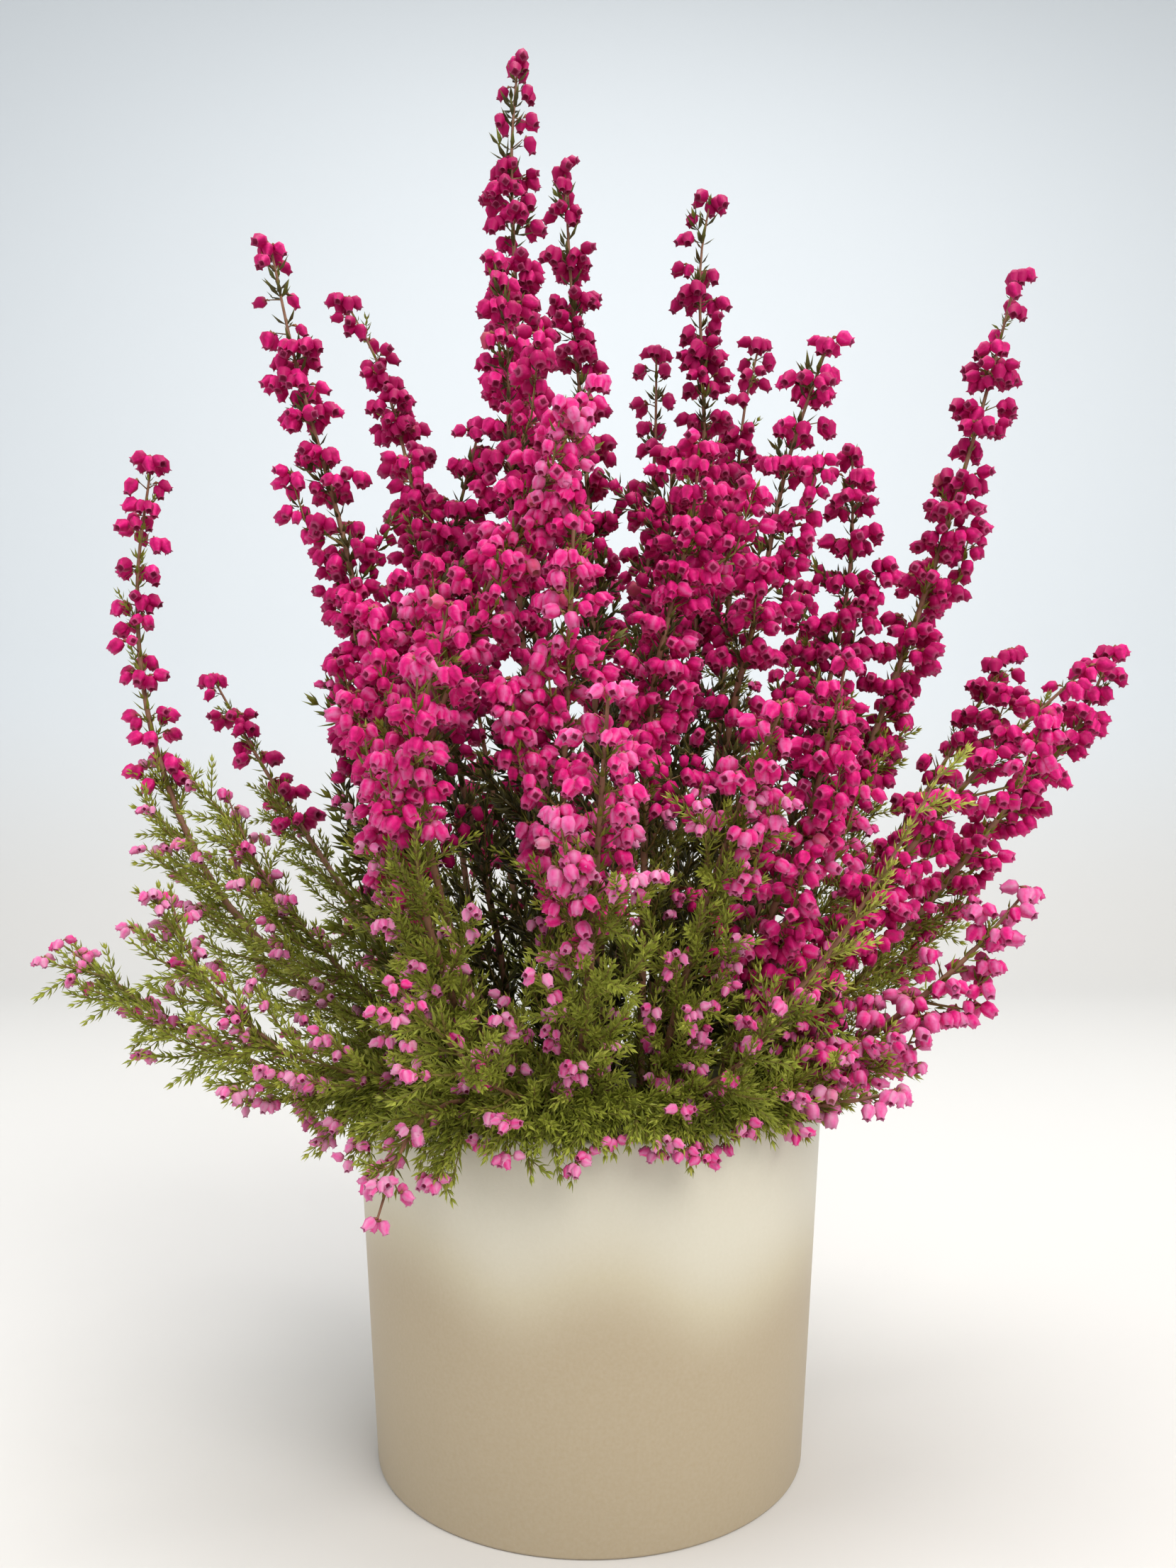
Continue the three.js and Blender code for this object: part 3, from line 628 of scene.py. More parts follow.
# how far shoots stay from the pot: in from its rim, over the soil, over the rim, out from the rim, and
# how far below the rim they may hang outside it
clear = {"inside": 9, "overSoil": 7, "overRim": 4, "outside": 6, "below": 20}
foliage = {
    "leafLength": 3.6,
    "leafWidth": 0.8,
    "leafLean": (28, 52),  # every lean is in degrees off the stem that carries it
    "leafLengths": (0.8, 1.15),
    "leafTones": 0.14,  # how far one leaf's shade is from the next
    # the last leaves, from this far below the tip, lean less, are shorter and look fresher
    "tip": 5,
    "tipLean": 0.4,
    "tipLength": 0.75,
    "tipFresh": 0.15,
    "shootGap": 2.2,  # between whorls of leaves
    "bloomGap": 4.6,  # inside a dense bloom, where longer leaves stand out between the bells
    "openGap": 8,  # on the bare part near the tip
    "bloomLeaf": 1.45,
    "bloomShade": -0.2,
    "shade": 0.53,
    "leafPast": 10,  # how far leafy branches go on past the foot of a bloom
    # painted light: the left sprays' leaves are lighter, for the light that side gets; right_shoot's
    # yellow-green is its own
    "ownShade": {"right_shoot": 0.85, "right_low": 0.62, "front_right_low": 0.5, "right_rim": 0.55,
                 "left_outer": 0.62, "left_leafy": 0.62, "left_low": 0.6, "left_front_low": 0.58},
    # how many times the usual number of branches a spray has, and their usual length
    "lush": {
        "left_outer": (1.5, 0.9), "left_leafy": (2.1, 1.05), "left_low": (1.5, 1),
        "left_front_low": (1.6, 1), "left_front": (1.5, 1.1), "left_mid": (1.5, 1.2),
        "back_left_outer": (1.3, 0.9), "back_left_low": (1.2, 1), "front_low": (1.3, 1),
        "front_drooping": (1.1, 0.45), "right_low": (1.6, 1.1), "right_outer": (1.3, 1),
        "right_shoot": (0.5, 0.55), "right_rim": (1.5, 1), "nearest": (1.2, 1),
        "front_right_near": (1.3, 1), "right_near": (1.2, 1),
    },
    "inner": (0.52, 1),  # the same for the sprays of the inner feet
    # painted shade: the inner feet's leaves are darker and bigger, dark patches for the shade between the
    # stems, partly the older darker leaves inside
    "innerShade": 0.22,
    "innerSize": 1.9,  # bigger leaves where they are seen only as the dark between the stems
    # painted shade: leaves nearer the middle of the plant are darkened, for the shade inside it
    "depth": 0.68,  # how much darker leaves are near the middle of the plant than on its outside
    # radius of the outside at the soil, more for each mm up, most, and the height where it closes
    "outside": (38, 0.5, 90, 380),
}
bloom = {
    "tall": 365,  # sprays that end higher than this are open near their tips
    "tallLevels": 3,
    "tallWhorl": 1.25,  # more branches to a whorl on these
    "closed": (0.8, 0.55),  # share of a bloom that has dense leaves, on the others and on these
    "full": (2, 3.2),  # thickness of the sprays with the thinnest bloom and with the densest
    "dense": 0.4,  # sprays fuller than this have side spikes
    "tipBells": (3, 6),
    "tipGap": 9,
    "openGap": 10,
    "gap": (9, 13.5),  # between whorls on the thin sprays and on the dense ones
    "branches": (2, 1.8),  # in a whorl of a thin spray, and more in a dense one
    "toneFall": 0.16,  # the tips are deeper by half of this, and the foot is paler
    "plainFrom": 0.45,  # share of the bloom, from its tip, after which the bells are plain
    "size": (1.14, 0.0021, 0.88, 1.25),  # at the middle, more for each mm to the back, least and most
    "pale": 0.76,  # smaller bells on the low sprays, as many times the size
    "crowdedBefore": -38,  # sprays that end in front of this depth are set more closely
    "crowd": 1.5,
    "ownFull": {"right_low": 1, "right_rim": 0.2},
}
# share of the leafy branches that bear small bells, their tone, and how many clusters of them
scattered = {
    "left": (0.45, 0.02, 1), "left_front": (0.55, 0, 2), "back_left": (0.2, 0.1, 1),
    "front": (0.5, 0.08, 2), "front_right": (0.35, 0.12, 2), "right_front": (0.7, 0.18, 3),
    "right": (0.45, 0.3, 2), "back_right": (0.3, 0.4, 2), "back": (0.25, 0.3, 1),
    "inner_left": (0.25, 0.2, 1), "inner_right": (0.1, 0.35, 1), "centre": (0.1, 0.3, 1),
    "inner_back": (0.1, 0.4, 1),
}
rim = {
    "gap": 8,  # degrees between shoots
    "closeGap": 2.6,
    "close": (-172, -18),  # the bearings between which they stand closely
    "inside": (60, 109),  # radius and height just inside the rim
    "crest": (71, 113),  # the same above the rim
    # painted shade: the shoots over the rim are darkened, as the shade low under the plant
    "shade": 0.52,
    # up to this bearing in degrees: radius that the shoots reach, and their height there
    "reaches": [(-112, 86, 101), (-66, 80, 103), (-20, 76, 107), (25, 90, 112), (180, 86, 103)],
    "bells": 0.45,  # share of the shoots that bear bells
    "fringe": 4,  # short sprigs that hang from each shoot where it leaves the pot
    "fringeLength": (6, 11),
    "fringeFall": (0.2, 0.9),
}


def between(low, high, share):
    return low + (high - low) * share


def spaced(dice, start, end, gap, vary=0.2):
    # distances from start to end, about a gap apart
    while start < end:
        yield start
        start += gap * dice.uniform(1 - vary, 1 + vary)


class Clump:
    # all the leaves and wood that grow from one foot
    def __init__(self, footName):
        self.leaves = Bunch("shade", "wood")
        self.stems = Stems(f"stems_{footName}", 6)
        self.twigs = Stems(f"twigs_{footName}", 4)

    def mesh(self, name):
        for part, wood in ((self.stems, 1), (self.twigs, 0.6)):
            mesh = part.mesh()
            self.leaves.put(mesh, Matrix(), foliage["shade"], wood)
            bpy.data.meshes.remove(mesh)
        return self.leaves.mesh(name)


class Spray:
    def __init__(self, name, clump):
        self.footName, height, self.tone, thick, way = sprays[name]
        self.clump = clump
        self.line = lineOf(name)
        self.bloomStart = bloomStartOf(name, self.line)
        self.dice = random.Random(name)
        self.turn = self.dice.uniform(0, 2 * pi)
        # 0 for the thin low sprays, 1 for the densest
        thin, densest = bloom["full"]
        self.full = bloom["ownFull"].get(name, min(1, max(0, (thick - thin) / (densest - thin))))
        isInner = radiusOf(feet[self.footName]) < foot["inner"]
        usualShade = foliage["innerShade"] if isInner else foliage["shade"]
        self.shade = foliage["ownShade"].get(name, usualShade)
        self.lush = foliage["lush"].get(name, foliage["inner"] if isInner else (1, 1))
        self.leafSize = foliage["innerSize"] if isInner else 1
        endDepth, endHeight = way[-1][1:]
        middle, slope, least, most = bloom["size"]
        self.size = min(most, max(least, middle + slope * endDepth)) * (1 if self.full else bloom["pale"])
        self.crowd = bloom["crowd"] if endDepth < bloom["crowdedBefore"] else 1
        self.isTall = endHeight > bloom["tall"]
        self.bells = Bunch("blush", "worn") if self.bloomStart < self.line.length else None


def clearsPot(point):
    radius = radiusOf(point)
    if radius < potRim - clear["inside"]:
        return point.z > soilEdge + clear["overSoil"]
    isOutside = radius > potRim + clear["outside"] and point.z > potHeight - clear["below"]
    return point.z > potHeight + clear["overRim"] or isOutside


def depthAt(point):
    # 1 on the plant's axis, 0 on its outside
    base, widening, most, top = foliage["outside"]
    outside = min(most, base + widening * max(0, point.z - soilEdge), (top - point.z) * widening)
    return max(0, 1 - radiusOf(point) / outside) if outside > 0 else 0


def growNeedles(spray, line, start, end, gap, shade, whorl=4, size=None):
    dice = spray.dice
    size = size or spray.leafSize
    turn = dice.uniform(0, pi)
    for distance in spaced(dice, start, end, gap, 0.15):
        point, along = line.at(distance)
        turn += pi / whorl + dice.uniform(-0.15, 0.15)
        left = min(1, (end - distance) / foliage["tip"])  # the last leaves close over the tip
        # painted shade deep inside the plant, less the fresher colour near the tip
        deep = foliage["depth"] * depthAt(point) - foliage["tipFresh"] * (1 - left)
        for side in range(whorl):
            out = around(along, turn + side * 2 * pi / whorl)
            lean = radians(dice.uniform(*foliage["leafLean"])) * between(foliage["tipLean"], 1, left)
            heading = along * cos(lean) + out * sin(lean)
            length = foliage["leafLength"] * dice.uniform(*foliage["leafLengths"])
            length *= size * between(foliage["tipLength"], 1, left)
            fresh = shade + dice.uniform(-1, 1) * foliage["leafTones"] - deep
            matrix = placed(point, heading, out, size * foliage["leafWidth"], length)
            spray.clump.leaves.put(oneLeaf, matrix, fresh, 0)


sprig = {
    "start": 4.5,  # from the foot of a shoot
    "gap": 8,
    "length": (8, 16),
    "shrink": (1.15, 0.5),  # as many times the length at the foot of a shoot, less this at its tip
    "lean": (22, 44),
    "radius": 0.2,
    "wood": 0.35,
}


def growSprig(spray, point, heading, length, shade):
    matrix = placed(point, heading, around(heading, 0), sprig["radius"], length)
    spray.clump.leaves.put(oneRod, matrix, shade - 0.1, sprig["wood"])
    line = Line([point, point + heading * length], 1)
    growNeedles(spray, line, 0.8, length, foliage["shootGap"] * spray.leafSize, shade)


def growTwig(spray, line, radius, shares, taper):
    spray.clump.twigs.add([line.at(line.length * share)[0] for share in shares],
                          [radius * between(1, taper, share) for share in shares])


cluster = {
    "apart": 0.7,  # how far the bells' roots lie from the end of the twig
    "turn": 0.3,
    "tilt": 0.45,
    # the least nod of its bells, and how many more they have, as shares of all nods
    "hang": 0.24,
    "range": 0.75,
    "sizes": (0.84, 1.1),  # how much one bell's size differs from the next
    "worn": 0.006,
    "vary": 0.19,  # how far one bell's tone is from the next
    # the bells on leafy shoots are smaller, and they hang less
    "small": 0.68,
    "smallHang": 0.15,
}


def growUmbel(spray, point, bearing, spread, count, tone, shapes=bells, size=None, hang=None):
    # a cluster of bells on the end of a twig
    dice = spray.dice
    hang = cluster["hang"] if hang is None else hang
    apart, off, tilt = cluster["apart"], cluster["turn"], cluster["tilt"]
    for number in range(count):
        share = (number + 0.5) / count - 0.5
        turn = bearing + share * spread + dice.uniform(-off, off)
        root = point + Vector([dice.uniform(-apart, apart) for axis in range(3)])
        nod = min(len(bells) - 1, int((dice.random() * cluster["range"] + hang) * len(bells)))
        scale = (size or spray.size) * dice.uniform(*cluster["sizes"])
        matrix = (Matrix.Translation(root * mm) @ Matrix.Rotation(turn, 4, "Z")
                  @ Matrix.Rotation(dice.uniform(-tilt, tilt), 4, "X") @ Matrix.Scale(scale, 4))
        worn = 1 if dice.random() < cluster["worn"] else 0
        spray.bells.put(shapes[nod], matrix, tone + dice.uniform(-1, 1) * cluster["vary"], worn)


def dressShoot(spray, line, shade, bellShare, tone, clusters):
    # a leafy shoot along a line, with sprigs on it and sometimes a few bells at its end
    dice = spray.dice
    growTwig(spray, line, branch["radius"], (0, 0.35, 0.7, 1), 0.4)
    growNeedles(spray, line, 1.5, line.length, foliage["shootGap"] * spray.leafSize, shade)
    turn = dice.uniform(0, 6)
    longest, shrink = sprig["shrink"]
    for distance in spaced(dice, sprig["start"], line.length - 3, sprig["gap"]):
        point, along = line.at(distance)
        turn += golden
        heading = leaned(along, around(along, turn), sprig["lean"], dice)
        length = dice.uniform(*sprig["length"]) * (longest - shrink * distance / line.length)
        if clearsPot(point + heading * length):
            growSprig(spray, point, heading, length, shade + 0.05)
    if not spray.bells or dice.random() > bellShare:
        return
    for number in range(clusters):
        point, along = line.at(line.length * (1 - 0.22 * number))
        count = dice.choice((2, 3)) if number else dice.choice((3, 4, 5))
        bearing = atan2(along.y, along.x) + (dice.choice((-1.5, 1.5)) if number else 0)
        growUmbel(spray, point, bearing, radians(60 * count), count, tone,
                  size=cluster["small"], hang=cluster["smallHang"])


branch = {
    "gap": 5.5,
    "length": (20, 42),
    "lean": (22, 44),
    "lifts": (0, 0.35, 0.8),  # tried in turn until a branch clears the pot
    "rise": 0.35,
    "radius": 0.42,
}


def growBranch(spray, distance, length, shade):
    dice = spray.dice
    point, along = spray.line.at(distance)
    spray.turn += golden
    heading = leaned(along, outside(point, along, spray.turn), branch["lean"], dice)
    for lift in branch["lifts"]:
        way = (heading + up * lift).normalized()
        middle = point + way * length * 0.5
        tip = middle + (way + up * branch["rise"]).normalized() * length * 0.5
        if clearsPot(middle) and clearsPot(tip):
            dressShoot(spray, Line([point, middle, tip], 4), shade, *scattered[spray.footName])
            return


whorls = {
    "open": 3.5,  # length of the twigs in the open whorls
    "twig": (4.5, 9),  # the same in the others, at the top of a bloom and at its foot
    "lengths": (0.45, 1.4),  # how much one twig's length differs from the next
    "lean": (45, 74),
    "radius": 0.3,
    "off": 0.3,  # how far a twig may stand off its even place in the whorl
    "looseOff": 0.9,  # the same on the open sprays
    "turn": radians(60),
    "height": 2,  # how far up or down its twigs start
    "spread": radians(40),  # what a cluster of bells spreads for each bell, and once more
    # the small leaves on the twigs: how steeply they stand off, and how much darker they are
    "bractLean": 1.1,
    "bractDark": (0.15, 0.4),
}


def growWhorl(spray, point, along, branches, umbel, twig, tone, shapes=bells, bracts=1):
    # twigs round the spray's stem, each with its cluster of bells and a small leaf
    dice = spray.dice
    loose = whorls["looseOff"] if spray.isTall or not spray.full else whorls["off"]
    spray.turn += whorls["turn"] + dice.uniform(-0.3, 0.3)
    for side in range(branches):
        turn = spray.turn + side * 2 * pi / branches + dice.uniform(-loose, loose)
        out = around(along, turn)
        heading = leaned(along, out, whorls["lean"], dice)
        length = twig * dice.uniform(*whorls["lengths"])
        root = point + along * dice.uniform(-1, 1) * whorls["height"]
        end = root + heading * length
        matrix = placed(root, heading, out, whorls["radius"], length)
        spray.clump.leaves.put(oneRod, matrix, 0.2, 0.7)
        count = dice.choice(umbel)
        spread = whorls["spread"] * (1 + count)
        growUmbel(spray, end, atan2(out.y, out.x), spread, count, tone, shapes)
        for bract in range(bracts):
            leafOut = around(heading, dice.uniform(0, 2 * pi))
            leafHeading = (heading + leafOut * whorls["bractLean"]).normalized()
            spot = root.lerp(end, dice.uniform(0.1, 0.9))
            matrix = placed(spot, leafHeading, leafOut, foliage["leafWidth"], foliage["leafLength"])
            shade = spray.shade - dice.uniform(*whorls["bractDark"])
            spray.clump.leaves.put(oneLeaf, matrix, shade, 0)


spike = {
    "core": (48, 255),  # no side spike starts inside this radius below this height
    "below": 42,  # none starts nearer to the tip than this
    "before": 12,  # the first starts this far before the foot of the bloom
    "top": (296, 0.003),  # none starts above this height, less this times the square of its radius
    "gap": 17.5,
    "length": (20, 42),
    "lean": (34, 58),
    "bend": 0.45,  # the share of a side spike where it turns up
    "bare": (0.2, 0.35),  # the share of it without bells
    "radius": 0.45,
    "whorl": 5.6,  # between its whorls of bells
    "twig": 1.6,
}


def growSpikelet(spray, distance):
    # an upright side spike, set closely with bells on short twigs
    dice = spray.dice
    point, along = spray.line.at(distance)
    spray.turn += golden
    length = dice.uniform(*spike["length"])
    heading = leaned(along, outside(point, along, spray.turn), spike["lean"], dice)
    bend = spike["bend"]
    middle = point + heading * length * bend
    tip = middle + (heading * bend + up).normalized() * length * (1 - bend)
    line = Line([point, middle, tip], 4)
    growTwig(spray, line, spike["radius"], (0, 0.5, 1), 0.5)
    growNeedles(spray, line, 1, line.length, foliage["bloomGap"], spray.shade + foliage["bloomShade"],
                2, foliage["bloomLeaf"])
    tone = spray.tone + dice.uniform(-0.1, 0.1)
    bare = line.length * dice.uniform(*spike["bare"])
    for distance in spaced(dice, bare, line.length, spike["whorl"], 0.15):
        point, along = line.at(distance)
        growWhorl(spray, point, along, 2, (1, 2, 2), spike["twig"], tone, plainBells, 0)
    growUmbel(spray, tip, dice.uniform(0, 6), 2 * pi, 4, tone)


budTwig = {
    "between": (22, 85),  # the radii they start between
    "below": 8,  # how far under the highest side spikes
    "gap": 18,
    "length": (16, 34),
    "lean": (30, 60),
    "aside": 1.4,  # how far they may head past the middle
    "bare": 0.35,  # the share of a twig without buds
    "whorl": 5.5,
    # painted shade: the buds are deeper and their leaves dark, for the shade inside the bloom
    "tone": 0.3,  # how much deeper the buds are than the bells of the spray
    "leaves": (4, 1.7, 0.12),  # the gap between their whorls, their size and shade
}


def growDeep(spray, distance):
    # a twig of buds towards the middle of the plant
    dice = spray.dice
    point, along = spray.line.at(distance)
    inwards = Vector((-point.x, -point.y, 0)).normalized()
    aside = Vector((-inwards.y, inwards.x, 0))
    stray = dice.uniform(-budTwig["aside"], budTwig["aside"])
    heading = leaned(along, (inwards + aside * stray).normalized(), budTwig["lean"], dice)
    line = Line([point, point + heading * dice.uniform(*budTwig["length"])], 1)
    radius = whorls["radius"]
    spray.clump.twigs.add([line.points[0], line.points[-1]], [radius, radius * 0.6])
    gap, size, shade = budTwig["leaves"]
    growNeedles(spray, line, 1, line.length, gap, shade, 4, size)
    tone = spray.tone + budTwig["tone"]
    distance = line.length * budTwig["bare"]
    while distance < line.length:
        growUmbel(spray, line.at(distance)[0], dice.uniform(0, 6), 2 * pi, 2, tone, buds)
        distance += budTwig["whorl"]


def growOpenWhorl(spray, point, along, tone):
    branches = spray.dice.choice((1, 2, 2, 3) if spray.full else (1, 1, 2))
    growWhorl(spray, point, along, branches, (1, 2, 3), whorls["open"], tone)
    return bloom["openGap"]


def growDenseWhorl(spray, point, along, tone, share):
    fewest, more = bloom["branches"]
    branches = (fewest + more * spray.full) * (bloom["tallWhorl"] if spray.isTall else 1)
    branches = round(branches + spray.dice.uniform(-1, 0.8))
    umbel = (3, 4, 5) if spray.full > bloom["dense"] else (2, 3, 4)
    twig = between(*whorls["twig"], share) * between(0.4, 1, spray.full)
    shapes = plainBells if share > bloom["plainFrom"] else bells
    growWhorl(spray, point, along, branches, umbel, twig, tone, shapes)
    return between(*bloom["gap"], spray.full) / spray.crowd


def growWhorls(spray):
    dice, line = spray.dice, spray.line
    stretch = line.length - spray.bloomStart
    openLevels = bloom["tallLevels"] if spray.isTall else 1
    fromTip, level = bloom["tipGap"], 0
    while fromTip < stretch:
        point, along = line.at(line.length - fromTip)
        share = fromTip / stretch
        tone = spray.tone + bloom["toneFall"] * (0.5 - share)
        if not spray.full or level < openLevels:
            gap = growOpenWhorl(spray, point, along, tone)
        else:
            gap = growDenseWhorl(spray, point, along, tone, share)
        if level % 2 and spray.full:
            out = around(along, dice.uniform(0, 6))
            heading, length = leaned(along, out, (20, 40), dice), dice.uniform(7, 12)
            growSprig(spray, point, heading, length, spray.shade + foliage["bloomShade"])
        fromTip += gap * dice.uniform(0.72, 1.28)
        level += 1


def growSides(spray):
    # the side spikes of a dense bloom, then its twigs of buds inside
    dice, line, start = spray.dice, spray.line, spray.bloomStart
    top, fall = spike["top"]
    coreRadius, coreTop = spike["core"]
    gap = spike["gap"] / (spray.full * spray.crowd)
    end = line.length - spike["below"]
    for distance in spaced(dice, start - spike["before"], end, gap):
        point = line.at(distance)[0]
        radius = radiusOf(point)
        isHidden = radius < coreRadius and point.z < coreTop
        if point.z < top - fall * radius ** 2 and not isHidden:
            growSpikelet(spray, distance)
    nearest, farthest = budTwig["between"]
    for distance in spaced(dice, start, line.length, budTwig["gap"]):
        point = line.at(distance)[0]
        radius = radiusOf(point)
        if nearest < radius < farthest and point.z < top - fall * radius ** 2 - budTwig["below"]:
            growDeep(spray, distance)


def growBloom(spray):
    line = spray.line
    tip = line.at(line.length)[0]
    tipBells = bloom["tipBells"][1 if spray.full else 0]
    growUmbel(spray, tip, spray.dice.uniform(0, 6), 2 * pi, tipBells, spray.tone + 0.05)
    shade = spray.shade + foliage["bloomShade"]
    closed = between(spray.bloomStart, line.length, bloom["closed"][1 if spray.isTall else 0])
    growNeedles(spray, line, spray.bloomStart, closed, foliage["bloomGap"], shade, 4, foliage["bloomLeaf"])
    growNeedles(spray, line, closed, line.length - 2, foliage["openGap"], shade, 3)
    growWhorls(spray)
    if spray.full > bloom["dense"]:
        growSides(spray)


stem = {
    "gap": 3.8,
    "radius": (1.25, 0.95, 0.38),  # at the foot, part of the way up and at the tip
    "part": 0.6,  # that part of the way
    "slim": 0.7,  # the thin sprays' stems, as many times the radius
}


def growStem(spray, top):
    low, middle, end = stem["radius"]
    line, part = spray.line, stem["part"]
    slim = 1 if spray.full else stem["slim"]
    count = max(6, int(line.length / 9))
    points, radii = [top - up], [low * slim]
    for step in range(1, count + 1):
        share = step / count
        left = (1 - share) / (1 - part)
        radius = between(low, middle, share * 1.6) if share < part else between(end, middle, left)
        points.append(line.at(line.length * share)[0])
        radii.append(radius * slim)
    spray.clump.stems.add(points, radii)


def growLeaves(spray):
    dice, line = spray.dice, spray.line
    growNeedles(spray, line, 10, spray.bloomStart, stem["gap"], spray.shade - 0.05)
    past = foliage["leafPast"] if spray.crowd == 1 else 0
    last = spray.bloomStart + (past if spray.full else 0.8 * (line.length - spray.bloomStart))
    more, longer = spray.lush
    for distance in spaced(dice, 8, last, branch["gap"] / more):
        share = distance / last
        length = dice.uniform(*branch["length"]) * (1.1 - 0.45 * share) * (1 if spray.full else 0.75)
        # painted shade: branches are darker the nearer they start to the bloom above them
        growBranch(spray, distance, length * longer, spray.shade + 0.12 - 0.22 * share)


def growRimShoot(spray, base, bearing):
    # leaves the pot over its rim
    dice = spray.dice
    way = Vector((cos(bearing), sin(bearing), 0))
    aside = Vector((-way.y, way.x, 0))
    facing = (degrees(bearing) + 180) % 360 - 180
    reach, height = next((reach, height) for limit, reach, height in rim["reaches"] if facing <= limit)
    reach += dice.uniform(-4, 3)
    height += dice.uniform(-4, 5)
    insideRadius, insideHeight = rim["inside"]
    crestRadius, crestHeight = rim["crest"]
    lift = dice.uniform(0, 5)
    inside = way * insideRadius + up * (insideHeight + lift)
    crest = way * crestRadius + up * (crestHeight + lift * 0.6)
    near = base.lerp(inside, 0.55) + up * dice.uniform(0, 3)
    tip = way * reach + up * height + aside * dice.uniform(-6, 6)
    shade, tone = rim["shade"] + dice.uniform(-0.1, 0.1), scattered[spray.footName][1]
    dressShoot(spray, Line([base, near, inside, crest, tip], 4), shade, rim["bells"], tone, 1)
    for number in range(rim["fringe"]):
        point = crest.lerp(tip, dice.uniform(0, 0.5))
        heading = way * 0.6 + aside * dice.uniform(-0.9, 0.9) - up * dice.uniform(*rim["fringeFall"])
        growSprig(spray, point, heading.normalized(), dice.uniform(*rim["fringeLength"]), rim["shade"])


def growFoot(footName):
    clump, top = Clump(footName), topOf(footName)
    clump.stems.add([top + up * rise for rise, share in foot["shape"]],
                    [foot["radius"] * share for rise, share in foot["shape"]])
    for name in sprays:
        if sprays[name][0] == footName:
            spray = grown[name] = Spray(name, clump)
            growStem(spray, top)
            growLeaves(spray)
            if spray.bells:
                growBloom(spray)
    return clump


def growRim():
    # each shoot comes from the outer foot on its side and belongs to that foot's lowest flowering spray
    outer = [name for name in feet if radiusOf(feet[name]) > foot["inner"]]
    facing = -180
    first, last = rim["close"]
    while facing < 180:
        bearing = radians(facing)
        facing += rim["closeGap"] if first < facing < last else rim["gap"]
        way = Vector((cos(bearing), sin(bearing)))
        footName = max(outer, key=lambda name: way.dot(Vector(feet[name]).normalized()))
        own = [spray for spray in grown.values() if spray.footName == footName and spray.bells]
        host = min(own, key=lambda spray: spray.line.points[-1].z)
        growRimShoot(host, topOf(footName), bearing)


grown = {}
clumps = {footName: growFoot(footName) for footName in feet}
growRim()
print("bells", sum(len(spray.bells.marks) for spray in grown.values() if spray.bells),
      "leaves", sum(len(clump.leaves.marks) for clump in clumps.values()))


petals = {
    "tones": [(0.0, (0.71, 0.30, 0.46)), (0.3, (0.73, 0.15, 0.37)), (0.65, (0.73, 0.012, 0.20)),
              (1.0, (0.38, 0.003, 0.09))],
    # crown, lip and mouth: strength, where along the bell each begins and is full, and its colour
    "parts": [(0.5, 0.2, 0.0, (0.36, 0.10, 0.09)), (0.14, 0.75, 1.0, (0.95, 0.5, 0.72)),
              # the mouth's dark maroon is painted shade in its recess, partly the throat's own deeper
              # colour
              (1.0, 1.02, 1.25, (0.20, 0.006, 0.045))],
    # painted shade in the grooves between the lobes: how much deeper their tone is there
    "groove": 0.3,
    "flecks": 0.5,
    "worn": (0.55, 0.24, 0.17),
    "stalk": (0.28, 0.12, 0.06),
    # slot names, each with the tone above which a spray's slot name is picked
    "slots": [(0.68, "flowers_deep"), (0.3, "flowers_pink"), (-1, "flowers_pale")],
}
leaves = {
    "tones": [(0.0, (0.052, 0.047, 0.01)), (0.4, (0.16, 0.18, 0.015)), (0.7, (0.31, 0.345, 0.04)),
              (1.0, (0.52, 0.53, 0.10))],
    "tip": (0.44, 0.44, 0.09),
    "bark": [(0.14, 0.06, 0.035), (0.31, 0.16, 0.09)],
}


def bellFinish():
    shader = Shader("heathBell")
    along, groove, blush, worn = (shader.attribute(name) for name in ("along", "groove", "blush", "worn"))
    fleck = shader.noise(900, 3)
    # deeper in the grooves as painted shade, and flecked
    depth = blush + groove * petals["groove"] + (fleck - 0.5) * petals["flecks"]
    petal = shader.ramp(depth, petals["tones"])
    for strength, start, full, colour in petals["parts"]:
        petal = shader.blend(shader.smooth(along, start, full) * strength, petal, colour)
    petal = shader.blend(worn * 0.55 * fleck, petal, petals["worn"])
    colour = shader.blend(shader.smooth(along, -0.2, -0.6), petal, petals["stalk"])
    bump = shader.bump(fleck, 0.0003, 0.4)
    return shader.finish(Base_Color=colour, Roughness=0.5 + 0.1 * fleck, Specular_IOR_Level=0.14,
                         Normal=bump)


def leafFinish():
    shader = Shader("heathLeaf")
    shade, wood, along = (shader.attribute(name) for name in ("shade", "wood", "along"))
    green = shader.ramp(shade, leaves["tones"])
    green = shader.blend(shader.smooth(along, 0.5, 1.0) * 0.3, green, leaves["tip"])
    bark = shader.blend(shader.noise(500, 3), *leaves["bark"])
    colour = shader.blend(wood, green, bark)
    return shader.finish(Base_Color=colour, Roughness=0.55, Specular_IOR_Level=0.25)


bellMaterial, leafMaterial = bellFinish(), leafFinish()
for footName, clump in clumps.items():
    name = f"leaves_{footName}"
    showPiece(name, clump.mesh(name), leafMaterial, f"leafy_stem_{footName}")
for sprayName, spray in grown.items():
    if spray.bells:
        name = f"bells_{sprayName}"
        slotName = next(slot for tone, slot in petals["slots"] if spray.tone > tone)
        showPiece(name, spray.bells.mesh(name), bellMaterial, f"flowers_{sprayName}")
print("plant made, triangles in all",
      sum(len(polygon.vertices) - 2 for mesh in bpy.data.meshes for polygon in mesh.polygons))


# what stands round the part, in metres

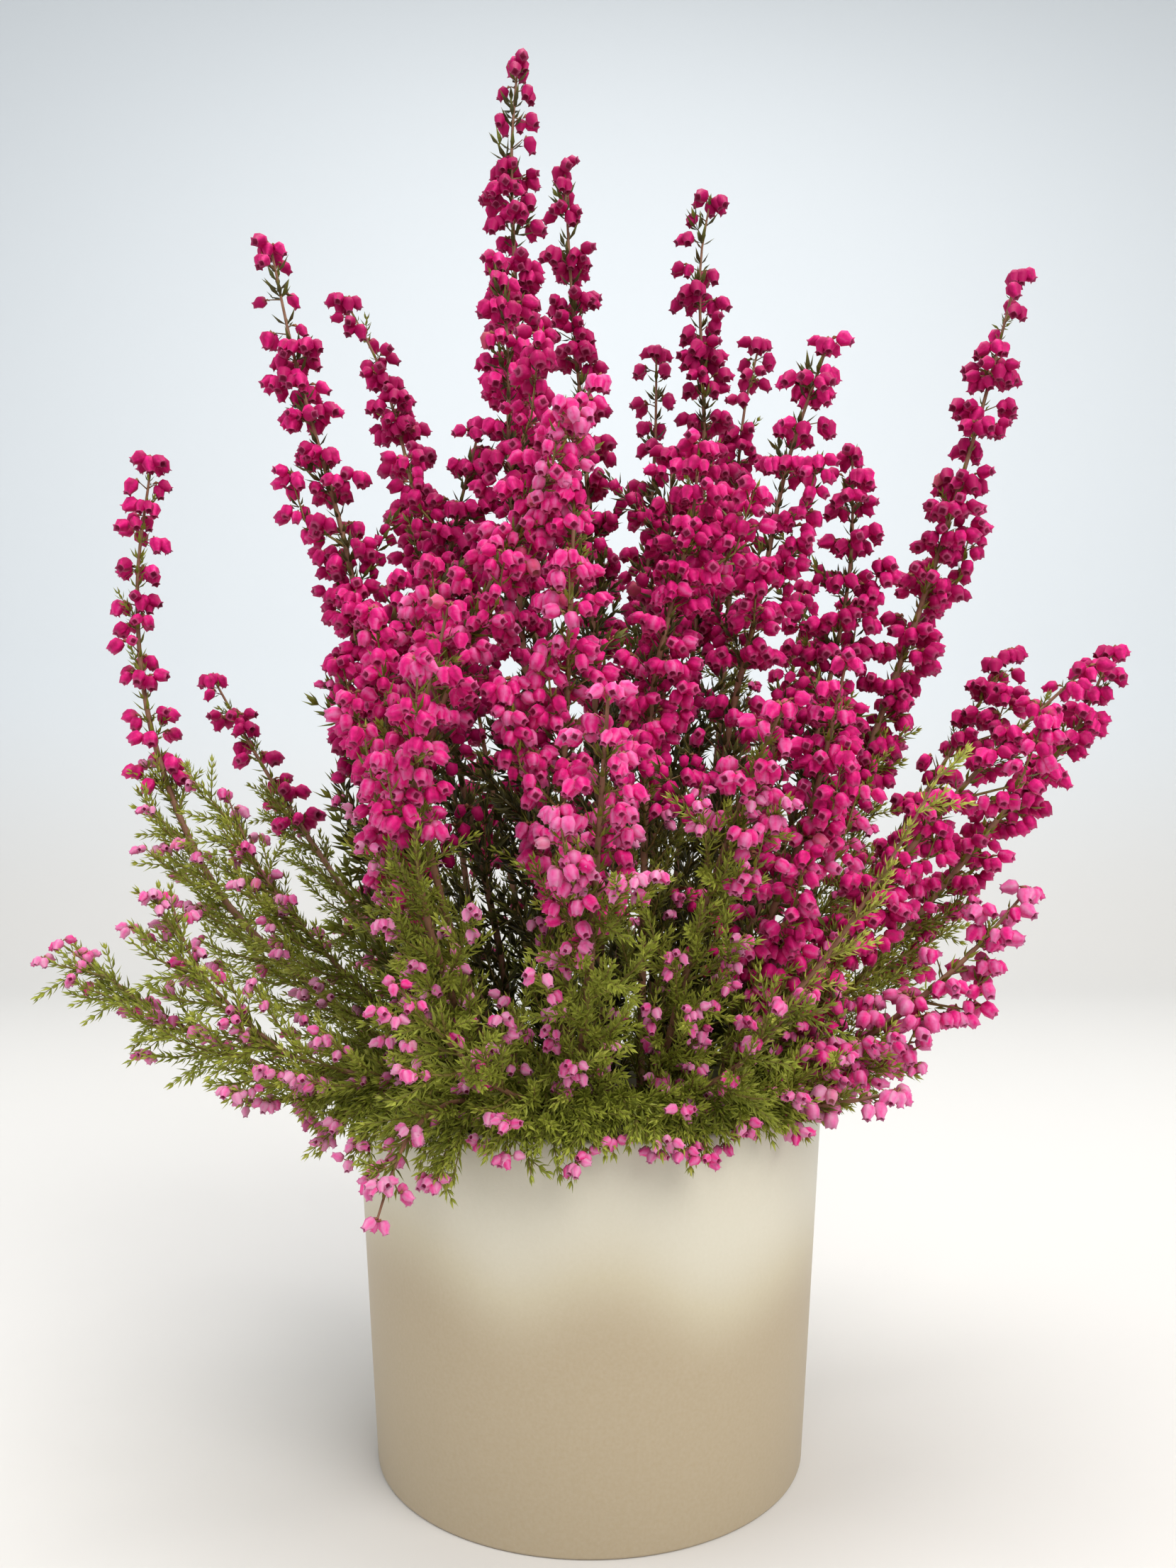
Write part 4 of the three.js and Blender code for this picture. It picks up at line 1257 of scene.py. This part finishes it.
sweep = {
    "front": 1.2,
    "back": 1.1,
    "half": 2.6,
    "curve": 0.5,
    "height": 2.4,
    "low": (0.68, 0.66, 0.63),
    "high": (0.73, 0.77, 0.80),
    "fade": 0.5,  # the height where it has its high colour
}
# place, the height on the part's axis that it is aimed at, size, power and colour
lights = {
    "window": ((0.8, -1.2, 1.5), 0.22, 1.5, 33, (1, 0.98, 0.95)),
    "side": ((-1.5, -0.5, 1.0), 0.22, 1.4, 10, (0.97, 0.98, 1)),
    "top": ((0.1, 0.2, 1.9), 0.2, 1.3, 22, (1, 1, 1)),
}
room = {"colour": (0.86, 0.90, 0.94, 1), "strength": 0.48}
camera = {
    "place": (-0.0005, -0.3667, 0.1782),
    "pitch": 3.02,
    # in pixels
    "focal": 1662,
    "imageHeight": 2212,
    "film": 36,  # in mm
}


def sweepFinish():
    shader = Shader("stagePaper")
    share = shader.smooth(shader.place("Z"), 0.0, sweep["fade"])
    return shader.finish(Base_Color=shader.blend(share, sweep["low"], sweep["high"]), Roughness=0.9)


def makeSweep():
    back, curve, half = sweep["back"], sweep["curve"], sweep["half"]
    turns = [radians(angle) for angle in range(9, 91, 9)]
    outline = [(-sweep["front"], 0), (back, 0)]
    outline += [(back + curve * sin(turn), curve - curve * cos(turn)) for turn in turns]
    outline.append((back + curve, sweep["height"]))
    bm = bmesh.new()
    verts = [bm.verts.new((-half, y, z)) for y, z in outline]
    edges = [bm.edges.new(pair) for pair in zip(verts, verts[1:])]
    made = bmesh.ops.extrude_edge_only(bm, edges=edges)["geom"]
    moved = [item for item in made if isinstance(item, bmesh.types.BMVert)]
    bmesh.ops.translate(bm, vec=(2 * half, 0, 0), verts=moved)
    bmesh.ops.recalc_face_normals(bm, faces=bm.faces)
    mesh = meshFrom(bm, "sweep", smooth=True)
    mesh.materials.append(sweepFinish())
    addObject("floor", mesh)


def addLight(name, place, target, size, power, colour):
    data = bpy.data.lights.new(name, "AREA")
    data.shape = "DISK"
    data.size = size
    data.energy = power
    data.color = colour
    lamp = addObject(name, data)
    lamp.location = place
    lamp.rotation_euler = (up * target - Vector(place)).to_track_quat("-Z", "Y").to_euler()


def addCamera():
    data = bpy.data.cameras.new("camera")
    data.sensor_fit = "VERTICAL"
    data.sensor_height = camera["film"]
    data.lens = camera["film"] * camera["focal"] / camera["imageHeight"]
    data.clip_start = 0.01
    holder = addObject("camera", data)
    holder.location = camera["place"]
    holder.rotation_euler = (radians(90 + camera["pitch"]), 0, 0)
    bpy.context.scene.camera = holder


def makeRoom():
    world = bpy.data.worlds.new("room")
    world.use_nodes = True
    light = world.node_tree.nodes["Background"]
    light.inputs["Color"].default_value = room["colour"]
    light.inputs["Strength"].default_value = room["strength"]
    bpy.context.scene.world = world
    bpy.context.scene.view_settings.view_transform = "Standard"


makeSweep()
for name, light in lights.items():
    addLight(name, *light)
addCamera()
makeRoom()
print("stage made")
